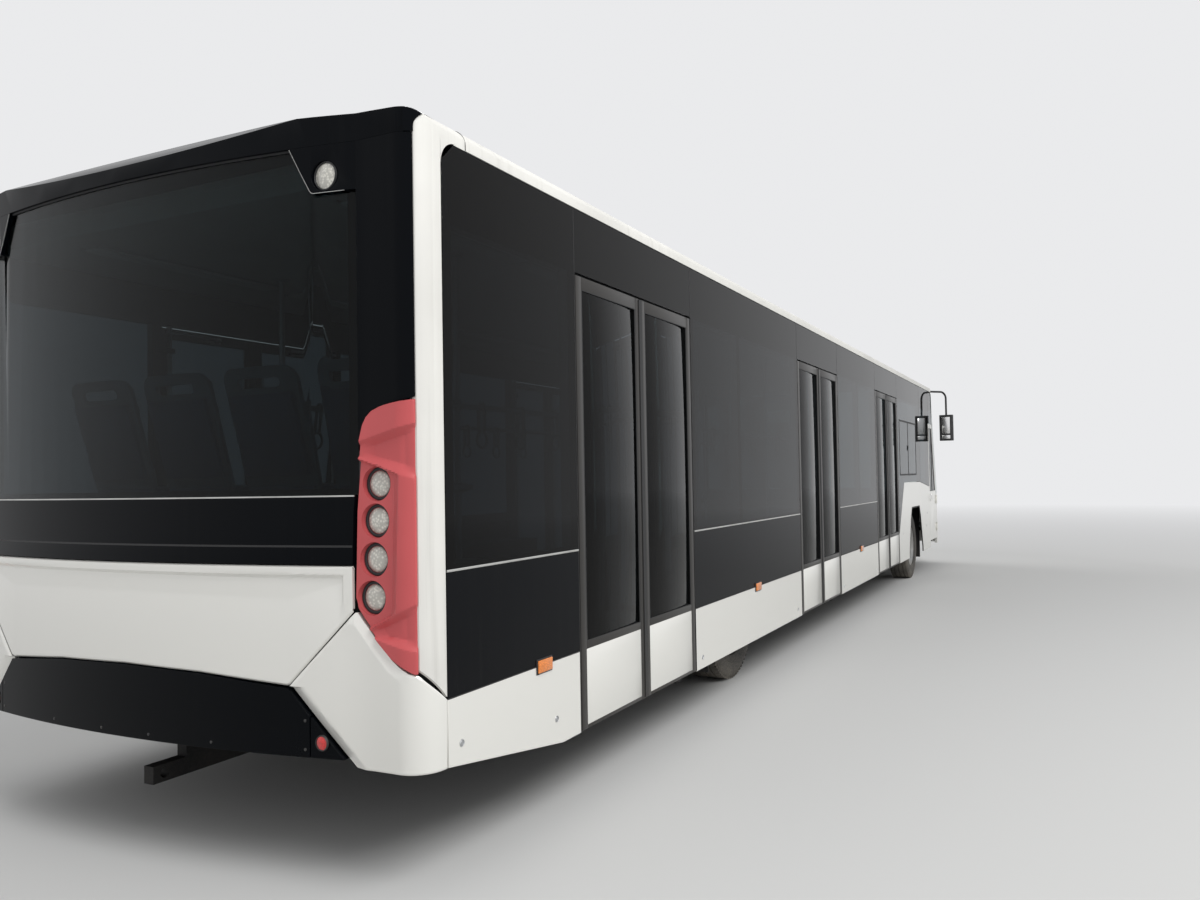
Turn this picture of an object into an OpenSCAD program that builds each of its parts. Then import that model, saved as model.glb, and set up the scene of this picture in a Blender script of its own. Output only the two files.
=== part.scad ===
// Airport passenger bus: a low floored apron bus with three double doors on each side.
// X points to the front, Y to the left, Z up. The origin is on the ground under the middle.
// All sizes are in millimetres.

/* [Body] */
// Overall length of the body
body_len = 13800; // [13000:50:14600]
// Overall width of the body
body_wid = 3000; // [2900:10:3100]
// Height of the roof at its middle
roof_z = 3000; // [2960:5:3100]
// How much lower the roof is at its side edges
roof_crown = 45; // [40:1:60]
// Radius of the roof's long side edges
roof_edge_r = 70; // [40:5:110]
// Height where the dark glass meets the white roof edge
glass_top = 2865; // [2820:5:2880]
// Height of the waist trim between the glass and the dark lower panels
waist_z = 1210; // [1150:5:1260]
// Height of the white skirt's upper edge
skirt_top = 725; // [680:5:780]
// Height of the white skirt's lower edge
skirt_bot = 340; // [300:5:370]
// How much the skirt's lower edge rises towards the rear corner
rear_lift = 130; // [80:5:170]
// Thickness of the outer panels and the glass
panel_t = 12; // [8:1:16]
// Depth of the frame posts and rails behind the panels
frame_t = 50; // [36:2:60]
// Width of the frame posts
post_w = 60; // [40:5:80]
// Gap between neighbouring panels
seam = 5; // [3:1:8]

/* [Rear end] */
// How far the rear face bows out at its middle
rear_bow = 110; // [100:2:130]
// Half the width of the rear window and of the bowed face
rear_half = 1200; // [1120:10:1240]
// Radius of the rear corners
rear_corner_r = 120; // [90:5:160]
// Width of the white pillar seen from the side
pillar_w = 135; // [120:5:160]
// Height of the rear window's lower edge
rear_glass_z = 1500; // [1440:5:1560]
// Height of the white rear band's upper edge
band_top = 1235; // [1180:5:1290]
// Height of the white rear band's lower edge
band_bot = 810; // [760:5:860]
// Height of the rear bumper's lower edge
bumper_bot = 470; // [440:5:500]
// Half the width of the dark panel under the band
low_panel_half = 975; // [900:5:1050]
// Height of the lamp column's lower tip
lamp_bot = 885; // [850:5:920]
// Height of the lamp column's upper tip
lamp_top = 1855; // [1800:5:1900]
// Radius of the round tail lamps
lamp_r = 52; // [40:1:60]

/* [Front end] */
// How far the front face bows out at its middle
front_bow = 170; // [120:5:220]
// Half the width of the bowed front face
front_half = 1150; // [1050:10:1180]
// Radius of the front corners
front_corner_r = 330; // [250:5:360]
// Lean of the windscreen from upright in degrees
screen_lean = 15; // [10:0.5:18]
// Height of the windscreen's lower edge
screen_z = 1190; // [1140:5:1240]
// Length of the roof's bevel over the windscreen
visor_len = 420; // [300:10:520]
// Height of the front bumper's lower edge
front_bot = 360; // [320:5:400]

// Distance of the headlamps from the centre line
lamp_y = 1080; // [1000:5:1120]
// Height of the headlamps
head_z = 960; // [930:5:1000]
// Radius of the headlamps
head_r = 95; // [80:1:100]

// Place along the bus of each mirror arm's foot
mirror_foot_x = 6080; // [6040:5:6090]
// Reach of a mirror arm to the front
mirror_fwd = 250; // [245:5:280]
// Reach of a mirror arm to the side
mirror_out = 230; // [210:5:260]
// Height of a mirror housing's lower edge
mirror_z0 = 2070; // [2000:5:2140]
// Height of a mirror housing's upper edge
mirror_z1 = 2500; // [2420:5:2560]

/* [Floor] */
// Height of the passenger floor's upper face
floor_z = 420; // [400:5:440]
// Thickness of the floor
floor_t = 60; // [50:5:70]
// Height of the lowest frame rails above the ground
rail_bot = 250; // [220:5:280]
// Place along the bus where the passenger floor ends in front
floor_front = 3250; // [3200:10:3320]
// Radius of the bore in each tow eye
tow_bore_r = 22; // [16:1:26]
// Height of the platform over the front wheels
platform_z = 1100; // [1080:5:1140]
// Height of the driver's floor
cab_floor_z = 700; // [660:5:760]
// Height of the raised rear platform under the seats
podium_z = 1150; // [1100:5:1190]
// Length of the raised rear platform
podium_len = 1000; // [900:10:1050]

// Height of the ceiling's underside
ceiling_z = 2780; // [2740:5:2800]

/* [Doorways] */
// Place along the bus of the rear doorway's middle
door_rear_x = -4940; // [-4990:5:-4900]
// Place along the bus of the middle doorway's middle
door_mid_x = -1138; // [-1180:5:-1100]
// Place along the bus of the front doorway's middle
door_front_x = 2150; // [2100:5:2180]
// Width of each doorway
door_w = 1430; // [1380:5:1450]
// Height of each doorway's upper edge
door_top = 2548; // [2500:2:2580]
// Gap around each door leaf
leaf_gap = 8; // [7:1:12]
// Thickness of a door leaf
leaf_t = 40; // [34:1:42]
// Width of a leaf's upright at the jamb
stile_w = 75; // [60:1:90]
// Width of a leaf's upright at the doorway's middle
meet_w = 90; // [70:1:100]
// Height of a leaf's upper rail
head_h = 65; // [60:1:90]
// Distance of a leaf's turning post from the jamb
post_u = 50; // [42:1:60]
// Distance of a leaf's turning post behind the outer face
post_v = 62; // [60:1:70]
// Radius of a turning post
post_r = 15; // [12:0.5:16]
// Length from a turning post to its leaf's pivot
arm_len = 360; // [340:2:380]
// Reach of an arm's elbow, which clears the jamb
elbow_len = 92; // [90:1:110]
// How far an arm turns from closed to open in degrees
arm_turn = 153; // [148:0.5:156]
// Width of an arm
arm_w = 24; // [18:1:26]
// Thickness of an arm
arm_t = 18; // [14:1:20]
// Radius of the pivot pin on an arm
pin_r = 8; // [6:0.5:9]
// Running clearance of pins and posts in their bores
run_gap = 0.05; // [0.03:0.01:0.08]
// Height of the lower arms
arm_low_z = 600; // [560:2:640]

/* [Cab doors] */
// Rear edge of the cab door along the bus
cab_x0 = 5620; // [5600:5:5660]
// Front edge of the cab door along the bus
cab_x1 = 6300; // [6250:5:6330]
// Height of the cab door's lower edge
cab_z0 = 450; // [440:5:500]
// Height of the cab door's upper edge
cab_z1 = 2330; // [2250:5:2400]
// Length of the cab door's upper edge
cab_top_len = 380; // [340:5:400]

/* [Wheels] */
// Place along the bus of the rear axle
rear_axle_x = -2870; // [-2900:5:-2840]
// Distance between the axles
wheelbase = 7100; // [7050:5:7130]
// Outer radius of a tyre
tyre_r = 478; // [470:1:484]
// Width of a tyre
tyre_w = 275; // [260:1:285]
// Radius of the rim's edge
rim_r = 290; // [280:1:300]
// Distance of the front wheels' middle planes from the centre line
front_track_y = 1290; // [1270:5:1300]
// Distance of the rear wheels' middle planes from the centre line
rear_track_y = 1112; // [1100:2:1130]
// Distance of the kingpins from the centre line
kingpin_y = 1065; // [1050:5:1080]
// Radius of the kingpins
kingpin_r = 22; // [18:1:26]
// Radius of the stub axles that carry the wheels
hub_r = 40; // [34:1:46]
// Radius of the wheel bolts' circle
bolt_circle_r = 167.5; // [160:0.5:170]
// Number of wheel bolts
bolt_count = 10; // [8:1:10]
// Radius of the wheel bolt studs
stud_r = 11; // [10:0.5:12]
// Half the length of the front wheel opening at its foot
arch_half = 600; // [580:5:640]
// Half the length of the front wheel opening at its top
arch_top_half = 370; // [340:5:420]
// Height of the front wheel opening
arch_z = 1040; // [1020:5:1060]

/* [Inside] */
// Radius of the grab poles
pole_r = 17; // [14:1:20]
// Width of one seat
seat_w = 470; // [440:5:490]
// Height of a seat cushion above its platform
seat_h = 420; // [380:5:450]
// Height of a seat back above the cushion
back_h = 520; // [480:5:560]
// Thickness of a seat back
back_t = 70; // [50:5:90]

/* [Hidden] */
$fn = 48;
eps = 0.01;
half = body_wid / 2;
hl = body_len / 2;
rear_x = -hl + rear_bow;
front_x = hl - front_bow;
wall_in = half - panel_t - frame_t;
glass_y = half - panel_t;
rear_r = (rear_half * rear_half + rear_bow * rear_bow) / (2 * rear_bow);
front_r = (front_half * front_half + front_bow * front_bow) / (2 * front_bow);
pillar_x = rear_x + pillar_w;
lean_h = body_len * tan(screen_lean) + roof_z + 600;
crown_steps = 6;
visor_back = (glass_top - screen_z) * tan(screen_lean) - 12;
front_axle_x = rear_axle_x + wheelbase;
leaf_w = door_w / 2 - leaf_gap - 3;
leaf_bot = skirt_bot + 5;
leaf_top = door_top - leaf_gap;
arm_high_z = leaf_top - 42;
pivot_u = post_u + arm_len;
floor_half = wall_in;
floor_back = rear_x + 160;
floor_step_x = door_rear_x - door_w / 2 - 200;
raised_floor_z = floor_z + 180;
housing_half = tyre_r + 90;
housing_y = rear_track_y - 220;
housing_z = 1010;
rail_y = 620;
rail_w = 120;
tow_z = 305;
driver_x = cab_x0 - 60;
white_x = rear_x + 25;
cap_x = rear_x + 90;
window_in = 18;
door_xs = [door_rear_x, door_mid_x, door_front_x];
raised_x = door_front_x + door_w / 2 + seam;
raised_top = 1410;
split_x = front_axle_x + 480;
cab_gap = 8;
hinge_x = cab_x1 - 14;
hinge_out = 14;
hinge_r = 9;
hinge_pin_r = 5;
hinge_zs = [600, 1050];
rear_t = 30;
seam_y = 1168;
seam_z = 1062;
low_y = 878;
band_end = band_bot - 40;
corner_y = 1165;
panel_bot = bumper_bot + 30;
upper_lamp_y = 1062;
marker_xs = [pillar_x + 675, (door_rear_x + door_mid_x) / 2 + 22, (door_mid_x + door_front_x) / 2 + 18];
marker_len = 130;
marker_t = 12;
lamp_step = 144;
lamp_drift = 9;
upper_lamp_z = 2745;
upper_lamp_x = -hl + rear_r - sqrt(rear_r * rear_r - upper_lamp_y * upper_lamp_y);
bumper_t = 40;
seat_gap = 0.3;
foot_z = skirt_top + 5;

// Helpers

// A box from one corner to the opposite one.
module box(a, b) {
  translate(a) cube([b[0] - a[0], b[1] - a[1], b[2] - a[2]]);
}

// The same shape on the right and on the left side of the bus.
module both_sides() {
  children();
  mirror([0, 1, 0]) children();
}

// A profile drawn along X and Z, pushed out from y0 towards y1.
module side_plate(y0, y1) {
  translate([0, y1, 0]) rotate([90, 0, 0]) linear_extrude(height = y1 - y0) children();
}

module upright(r, z0, z1) {
  translate([0, 0, z0]) cylinder(r = r, h = z1 - z0);
}

// Outer shape of the body

// Body outline from above, t inside the outer face, with the bowed rear end.
module plan(t, x_end) {
  r = rear_corner_r;
  translate([rear_x + t, -half + r]) square([x_end - rear_x - t, 2 * (half - r)]);
  translate([rear_x + r, -half + t]) square([x_end - rear_x - r, 2 * (half - t)]);
  for (s = [-1, 1]) translate([rear_x + r, s * (half - r)]) circle(r = r - t);
  intersection() {
    translate([-hl + rear_r, 0]) circle(r = rear_r - t, $fn = 720);
    translate([-hl, -rear_half]) square([rear_bow + 400, 2 * rear_half]);
  }
}

// Nose outline from above, with its bow and its round corners, wider by side.
module nose(t, x0, side = 0) {
  r = front_corner_r;
  w = half + side;
  translate([x0, -w + r]) square([front_x - t - x0, 2 * (w - r)]);
  translate([x0, -w + t]) square([front_x - r - x0, 2 * (w - t)]);
  for (s = [-1, 1]) translate([front_x - r, s * (w - r)]) circle(r = r - t);
  intersection() {
    translate([hl - front_r, 0]) circle(r = front_r - t, $fn = 240);
    translate([hl - front_bow - 400, -front_half]) square([front_bow + 400, 2 * front_half]);
  }
}

// Roof section across the bus: crowned in flat strips, with round edges.
module roof_section(t) {
  w = half - t + 3;
  r = roof_edge_r + 3;
  intersection() {
    union() {
      translate([-w, -10]) square([2 * w, roof_z - roof_crown - r + 10]);
      translate([-w + r, -10]) square([2 * (w - r), roof_z + 20]);
      for (s = [-1, 1]) translate([s * (w - r), roof_z - roof_crown - r]) circle(r = r);
    }
    polygon([
      [-w - 10, -20], for (i = [-crown_steps:crown_steps]) crown_point(i / crown_steps, w + 10, t), [w + 10, -20]
    ]);
  }
}

// A point of the crown, k of the way from the middle to the side.
function crown_point(k, w, t) = [k * w, roof_z - t - roof_crown * k * k];

// Where the nose lies, seen from above, at the distance y from the centre line.
function nose_x(y) = hl - front_r + sqrt(front_r * front_r - y * y);

// The windscreen part of the nose, leaning back around the screen's foot.
module leaning_nose(t) {
  translate([hl, 0, screen_z]) rotate([0, -screen_lean, 0]) translate([-hl, 0, -600])
    linear_extrude(height = lean_h) nose(t, -hl - 1200, 6);
}

// The whole body above z0 as one solid, t inside the outer face.
module upper_body(t, z0) {
  intersection() {
    translate([0, 0, z0]) linear_extrude(height = roof_z - z0) plan(t, hl);
    leaning_nose(t);
    rotate([90, 0, 90]) translate([0, 0, -hl - 10]) linear_extrude(height = body_len + 20) roof_section(t);
  }
}

// The whole body between z0 and z1 below the windscreen.
module lower_body(t, z0, z1) {
  translate([0, 0, z0]) linear_extrude(height = z1 - z0) {
    plan(t, 0);
    nose(t, -eps);
  }
}

// Floor and frame

// The chassis is built up from pieces that stand a seat gap apart.
module chassis() color("#3a3d40") {
  floor_plates();
  ladder_frame();
  wheel_housings();
  front_platform();
  bumper_carrier();
  for (s = [-1, 1]) tow_eye(s);
}

// The low passenger floor and the raised floor behind the rear doorway.
module floor_plates() {
  z = floor_z - floor_t;
  difference() {
    box([floor_step_x, -floor_half, z], [floor_front, floor_half, floor_z]);
    both_sides() box([rear_axle_x - housing_half, housing_y, z - 1],
        [rear_axle_x + housing_half, floor_half + 1, floor_z + 1]);
  }
  side_plate(-floor_half, floor_half) polygon([
    [floor_back, raised_floor_z - floor_t], [floor_step_x - 50, raised_floor_z - floor_t],
    [floor_step_x - 50, z], [floor_step_x - seat_gap, z], [floor_step_x - seat_gap, raised_floor_z],
    [floor_back, raised_floor_z]
  ]);
}

// Long rails and cross members under the floor, open over the rear axle.
module ladder_frame() {
  z = floor_z - floor_t - seat_gap;
  difference() {
    union() {
      both_sides() box([door_rear_x - 660, rail_y, rail_bot], [floor_front, rail_y + rail_w, z]);
      for (x = door_xs, d = [-620, 620])
        box([x + d - 40, -floor_half + 20, rail_bot + 40], [x + d + 40, floor_half - 20, z]);
      // brackets for the rear trailing arms
      both_sides() box([rear_axle_x + 880, rail_y + rail_w - eps, rail_bot + 10],
          [rear_axle_x + 970, 825, z]);
    }
    box([rear_axle_x - 70, -floor_half, 0], [rear_axle_x + 70, floor_half, roof_z]);
  }
}

// Boxes over the rear wheels, open below, to the side and around the axle's ends.
module wheel_housings() {
  both_sides() difference() {
    box([rear_axle_x - housing_half + seat_gap, housing_y + seat_gap, floor_z - floor_t],
        [rear_axle_x + housing_half - seat_gap, floor_half, housing_z]);
    box([rear_axle_x - housing_half + 20, housing_y + 20, 0],
        [rear_axle_x + housing_half - 20, floor_half + 1, housing_z - 20]);
    box([rear_axle_x - 66, housing_y - 1, 0], [rear_axle_x + 66, rear_track_y - 190, tyre_r + 66]);
  }
}

// Platform over the front wheels with the walls of the wheel wells and the driver's floor.
module front_platform() {
  x0 = floor_front + seat_gap;
  x1 = split_x + 200;
  x2 = front_x - 340;
  // bulkheads, side walls and deck
  box([x0, -floor_half, floor_z - floor_t], [x0 + 50, floor_half, platform_z - 50 - seat_gap]);
  box([x0, -floor_half, platform_z - 50], [x1, floor_half, platform_z]);
  both_sides() {
    difference() {
      box([x0 + 50 + seat_gap, 700, rail_bot], [split_x + 150 - seat_gap, 760, platform_z - 50 - seat_gap]);
      box([front_axle_x - 100, 690, 0], [front_axle_x + 100, 770, tyre_r]);
    }
    box([x1 + seat_gap, 700, rail_bot], [x2, 760, cab_floor_z - 50 - seat_gap]);
  }
  box([split_x + 150, -floor_half, rail_bot], [x1, floor_half, platform_z - 50 - seat_gap]);
  // driver's floor beside the engine bay
  difference() {
    box([x1 + seat_gap, -floor_half, cab_floor_z - 50], [x2, floor_half, cab_floor_z]);
    box([x1, -640, 0], [cab_x0 - 40, 640, roof_z]);
  }
}

// Cross member and struts behind the front bumper.
module bumper_carrier() {
  x2 = front_x - 340;
  box([x2 + seat_gap, -760, rail_bot + 100], [x2 + 60, 760, cab_floor_z]);
  intersection() {
    lower_body(bumper_t + seat_gap, rail_bot + 150, rail_bot + 350);
    both_sides() box([x2 + 59, 480, 0], [hl, 560, roof_z]);
  }
}

// A tow eye under the end s of the bus, on a web below the floor.
module tow_eye(s) {
  web_x = s > 0 ? front_x - 340 + seat_gap : -floor_back;
  web_top = s > 0 ? cab_floor_z - 50 - seat_gap : raised_floor_z - floor_t - seat_gap;
  scale([s, 1, 1]) difference() {
    union() {
      box([web_x - 500, -30, tow_z - 38], [hl - 110, 30, tow_z + 38]);
      box([web_x - 500, -30, tow_z], [web_x - (s > 0 ? 60 : 0), 30, web_top]);
    }
    translate([hl - 165, 0, tow_z]) rotate([90, 0, 0]) cylinder(r = tow_bore_r, h = 80, center = true);
  }
}

// Structural side frame behind the panels

module frame_post(x, z0, z1) {
  box([x - post_w / 2, wall_in, z0], [x + post_w / 2, glass_y, z1]);
}

module frame_side() {
  jambs = [for (x = door_xs) each [x - door_w / 2 - post_w / 2, x + door_w / 2 + post_w / 2]];
  for (x = jambs) frame_post(x, leaf_bot, glass_top);
  for (x = [pillar_x + post_w / 2, (door_rear_x + door_mid_x) / 2 - 300, (door_mid_x + door_front_x) / 2])
    frame_post(x, leaf_bot, glass_top);
  for (x = [split_x, cab_x0 - cab_gap - post_w / 2])
    frame_post(x, cab_z0, glass_top);
  // sill and waist rails between the doorways
  runs = [[pillar_x, jambs[0]], [jambs[1], jambs[2]], [jambs[3], jambs[4]]];
  for (r = runs) {
    box([r[0], wall_in, leaf_bot], [r[1], glass_y, floor_z]);
    box([r[0], wall_in, waist_z - 60], [r[1], glass_y, waist_z + 20]);
  }
  box([jambs[5], wall_in, waist_z - 60], [cab_x0 - cab_gap, glass_y, waist_z + 20]);
  // header over the doorways and the cantrail
  box([pillar_x, wall_in, door_top], [front_x - front_corner_r - 480, glass_y, glass_top]);
}

module body_frame() color("#2b2d30") {
  both_sides() {
    difference() {
      frame_side();
      both_sides() box([front_axle_x - 640, 0, -10], [front_axle_x + 600, half, platform_z - 60]);
    }
    bearing_blocks();
  }
  rear_frame();
}

// Beams and corner posts that carry the rear panels.
module rear_frame() {
  difference() {
    intersection() {
      lower_body(rear_t + seat_gap, panel_bot, ceiling_z - seat_gap);
      box([-hl, -half + 115, 0], [floor_back - seat_gap, half - 115, roof_z]);
    }
    lower_body(rear_t + 45, 0, roof_z);
    box([-hl, -rear_half + 60, rear_glass_z + 30], [0, rear_half - 60, roof_z]);
    box([-hl, -rear_half + 60, raised_floor_z + 60], [0, rear_half - 60, band_top - 60]);
  }
  // feet on the edge of the raised floor
  both_sides() box([rear_x + rear_t + 40, rear_half - 40, panel_bot],
      [floor_back - seat_gap, rear_half + 20, raised_floor_z]);
}

// Two bored brackets at every jamb, which hold the leaf's turning post.
module bearing_blocks() {
  for (x = door_xs, e = [-1, 1])
    translate([x - e * door_w / 2, half, 0]) scale([e, -1, 1])
      for (z = [arm_low_z - 110, arm_high_z - 120])
        difference() {
          box([-post_w / 2, leaf_t + 6, z], [post_u + 24, post_v + 22, z + 30]);
          translate([post_u, post_v, 0]) upright(post_r + run_gap, z - 1, z + 31);
        }
}

// Outer side panels

// Raised white panel around the front wheel, drawn along X and Z.
module raised_outline() {
  polygon([
    [raised_x, skirt_bot], [raised_x, skirt_top], [raised_x + 445, raised_top],
    [split_x - 60, raised_top - 5], [front_x - 160, waist_z + 20], [front_x - 160, skirt_bot]
  ]);
}

module arch_outline() {
  translate([front_axle_x, 0])
    polygon([
      [-arch_half, 0], [-arch_half, 420], [-arch_top_half - 60, arch_z - 160],
      [-arch_top_half + 40, arch_z],
      [arch_top_half - 40, arch_z], [arch_top_half + 60, arch_z - 160], [arch_half, 420], [arch_half, 0]
    ]);
}

module skirt_side() {
  // rear skirt, whose lower edge rises to the corner
  side_plate(glass_y, half)
    polygon([
      [pillar_x - eps, skirt_bot + rear_lift], [door_rear_x - door_w / 2 - 170, skirt_bot],
      [door_rear_x - door_w / 2 - seam, skirt_bot], [door_rear_x - door_w / 2 - seam, skirt_top],
      [pillar_x - eps, skirt_top]
    ]);
  for (i = [0, 1])
    box([door_xs[i] + door_w / 2 + seam, glass_y, skirt_bot],
        [door_xs[i + 1] - door_w / 2 - seam, half, skirt_top]);
  // raised panel with the wheel opening
  side_plate(glass_y, half) difference() {
    intersection() {
      raised_outline();
      translate([0, 0]) square([split_x - seam / 2, raised_top + 10]);
    }
    arch_outline();
  }
  side_plate(glass_y, half) difference() {
    intersection() {
      raised_outline();
      translate([split_x + seam / 2, 0]) square([cab_x0 - cab_gap - split_x - seam / 2, raised_top + 10]);
    }
    arch_outline();
  }
}

module skirt_panels() color("#e9e7df") both_sides() skirt_side();

// Dark panels between the skirt and the waist.
module lower_side() {
  z0 = skirt_top + seam;
  z1 = waist_z - seam / 2;
  box([pillar_x, glass_y, z0], [door_rear_x - door_w / 2 - seam, half, z1]);
  for (i = [0, 1])
    box([door_xs[i] + door_w / 2 + seam, glass_y, z0], [door_xs[i + 1] - door_w / 2 - seam, half, z1]);
}

module lower_panels() color("#14171b") both_sides() lower_side();

// Dark side glass from the waist to the roof.
module glass_side() {
  z0 = waist_z + seam / 2;
  x_mid = (door_mid_x + door_front_x) / 2;
  edges = [
    [pillar_x, door_rear_x - door_w / 2 - seam],
    [door_rear_x + door_w / 2 + seam, door_mid_x - door_w / 2 - seam],
    [door_mid_x + door_w / 2 + seam, door_front_x - door_w / 2 - seam]
  ];
  for (e = edges) box([e[0], glass_y, z0], [e[1], half, glass_top]);
  for (x = door_xs)
    box([x - door_w / 2, glass_y, door_top + 2], [x + door_w / 2, half, glass_top]);
  // front section above the raised panel
  side_plate(glass_y, half) difference() {
    translate([raised_x, skirt_top + seam]) square([cab_x0 - cab_gap - raised_x, glass_top - skirt_top - seam]);
    translate([0, seam]) raised_outline();
    translate([split_x - seam / 2, 0]) square([seam, glass_top + 1]);
  }
  // strip over the cab door
  side_plate(glass_y, half)
    polygon([
      [cab_x0 - cab_gap + seam, cab_z1 + cab_gap], [cab_x0 + cab_top_len, cab_z1 + cab_gap],
      [cab_x0 + cab_top_len - 100, glass_top], [cab_x0 - cab_gap + seam, glass_top]
    ]);
}

module side_glazing() color("#101418", 0.6) both_sides() glass_side();

// Roof shell with its crown, bevelled at the front and at the rear.
module roof_slab(t = 0) {
  top = roof_z + 1;
  intersection() {
    translate([0, 0, glass_top + t]) linear_extrude(height = roof_z - glass_top - 2 * t) {
      plan(t, 0);
      translate([-visor_back, 0]) nose(t, visor_back - eps);
    }
    rotate([90, 0, 90]) translate([0, 0, -hl - 10]) linear_extrude(height = body_len + 20) roof_section(t);
    side_plate(-half - 10, half + 10) polygon([
      [-hl - 1, glass_top - 1], [-hl - 1, roof_z - roof_crown - 30], [rear_x - 20, top],
      [hl - visor_back - visor_len, top], [hl - visor_back + 1, glass_top + 35],
      [hl - visor_back + 1, glass_top - 1]
    ]);
  }
}

// Roof with its white side edges and the two white rear pillars.
module roof() color("#e9e7df") {
  difference() {
    roof_slab();
    cap_block(0);
  }
  intersection() {
    upper_body(panel_t + frame_t, ceiling_z);
    box([floor_back, -half, ceiling_z - 1], [hl, half, glass_top + 20]);
  }
  // pillars round the rear corners, with a slanted foot
  difference() {
    intersection() {
      lower_body(0, foot_z, glass_top + 15);
      both_sides() box([white_x + seam / 2, half - 130, 0], [pillar_x - seam, half + 1, roof_z]);
    }
    translate([0, 0, -1]) lower_body(panel_t, 0, roof_z);
    cap_block(0);
    side_plate(-half - 1, half + 1) polygon([
      [-hl, foot_z - 1], [pillar_x, foot_z - 1], [pillar_x, foot_z + seam / 2],
      [white_x, lamp_bot - 30 + seam / 2], [-hl, lamp_bot]
    ]);
  }
}

// The part of the roof that the black rear cap takes, larger by g.
module cap_block(g) {
  box([-hl - 1, -half + 55 - g, glass_top - 1], [cap_x + g, half - 55 + g, roof_z + 1]);
}

// Black cap over the rear window.
module rear_cap() color("#0d0f12") {
  intersection() {
    roof_slab();
    cap_block(-seam / 2);
  }
}

// Rear end

module rear_ring(z0, z1, t) {
  difference() {
    intersection() {
      lower_body(0, z0, z1);
      box([-hl - 1, -half - 1, z0 - 1], [pillar_x - seam, half + 1, z1 + 1]);
    }
    lower_body(t, z0 - 1, z1 + 1);
  }
}

// A shape drawn across and up, pushed through the rear end of the body.
module rear_plate() {
  rotate([90, 0, 90]) translate([0, 0, -hl - 1]) linear_extrude(height = 400) children();
}

// Outline of the white band between the lamp columns, smaller by g.
module band_outline(g) {
  polygon([
    [-seam_y + g, seam_z + g / 2], [-seam_y + g, band_top - g], [seam_y - g, band_top - g],
    [seam_y - g, seam_z + g / 2],
    [low_y - g / 2, band_end + g], [low_y / 2, band_bot - 10 + g], [0, band_bot + g],
    [-low_y / 2, band_bot - 10 + g],
    [-low_y + g / 2, band_end + g]
  ]);
}

// Outline of one white corner piece, from the band's end round to the side.
module corner_outline() {
  polygon([
    [low_y + seam, band_end - seam], [seam_y + seam, seam_z - seam], [half + 1, lamp_bot + 60],
    [half + 1, bumper_bot], [corner_y, bumper_bot]
  ]);
}

// Height at y of the white corner piece's slanted edge.
function corner_z(y) =
  band_end - seam - (y - low_y - seam) * (band_end - seam - bumper_bot) / (corner_y - low_y - seam);

module rear_bumper() color("#e9e7df") {
  difference() {
    intersection() {
      rear_ring(bumper_bot, band_top, rear_t);
      rear_plate() band_outline(0);
    }
    // shallow field inside the band's raised border
    difference() {
      rear_plate() band_outline(40);
      lower_body(8, 0, roof_z);
    }
    lamp_cut(seam);
  }
  difference() {
    intersection() {
      rear_ring(bumper_bot, band_top, rear_t);
      rear_plate() for (s = [-1, 1]) scale([s, 1]) corner_outline();
    }
    lamp_cut(seam);
    // the white pillar's slanted foot
    side_plate(-half - 1, half + 1) polygon([
      [white_x - 1, lamp_bot - 30 - seam / 2], [pillar_x + 1, foot_z - seam / 2],
      [pillar_x + 1, roof_z], [white_x - 1, roof_z]
    ]);
  }
}

// The room that the lamp columns take out of the rear panels.
module lamp_cut(g) {
  rear_plate() for (s = [-1, 1]) scale([s, 1]) lamp_outline(g);
}

module lamp_outline(g) {
  polygon([
    [half + 10, lamp_bot - 50 - g], [half - 50, lamp_bot - 40 - g], [half - 170, lamp_bot + 30 - g],
    [half - 290 - g, lamp_bot + 150 - g / 2], [half - 330 - g, lamp_bot + 230],
    [half - 320 - g, lamp_bot + 560],
    [half - 285 - g, lamp_top - 90], [half - 240 - g / 2, lamp_top - 35 + g], [half - 100, lamp_top + g],
    [half + 10, lamp_top + 10 + g]
  ]);
}

module tail_lamps() color("#c8605f") {
  ys_zs = [for (s = [-1, 1], i = [0:3]) [s * (half - 222 - lamp_drift * i), lamp_top - 308 - lamp_step * i]];
  difference() {
    intersection() {
      difference() {
        lower_body(2, lamp_bot - 60, lamp_top + 20);
        lower_body(rear_t, lamp_bot - 61, lamp_top + 21);
      }
      lamp_cut(0);
      box([-hl, -half, 0], [white_x - seam / 2, half, roof_z]);
    }
    for (p = ys_zs) lamp_disc(p, -hl - 10, rear_x + 16, lamp_r + 6);
  }
  for (p = ys_zs) lamp_disc(p, rear_x + 4, rear_x + 17, lamp_r);
}

// A disc at the place p across and up, from x0 to x1 along the bus.
module lamp_disc(p, x0, x1, r) {
  translate([x0, p[0], p[1]]) rotate([0, 90, 0]) cylinder(r = r, h = x1 - x0);
}

// Outline of the housing of one upper lamp, in the window's upper corner.
module housing_outline(g) {
  polygon([
    [905 - g, glass_top + 1], [1000 - g, rear_glass_z + 1180 - g], [rear_half + 1, rear_glass_z + 1180 - g],
    [rear_half + 1, glass_top + 1]
  ]);
}

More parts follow.
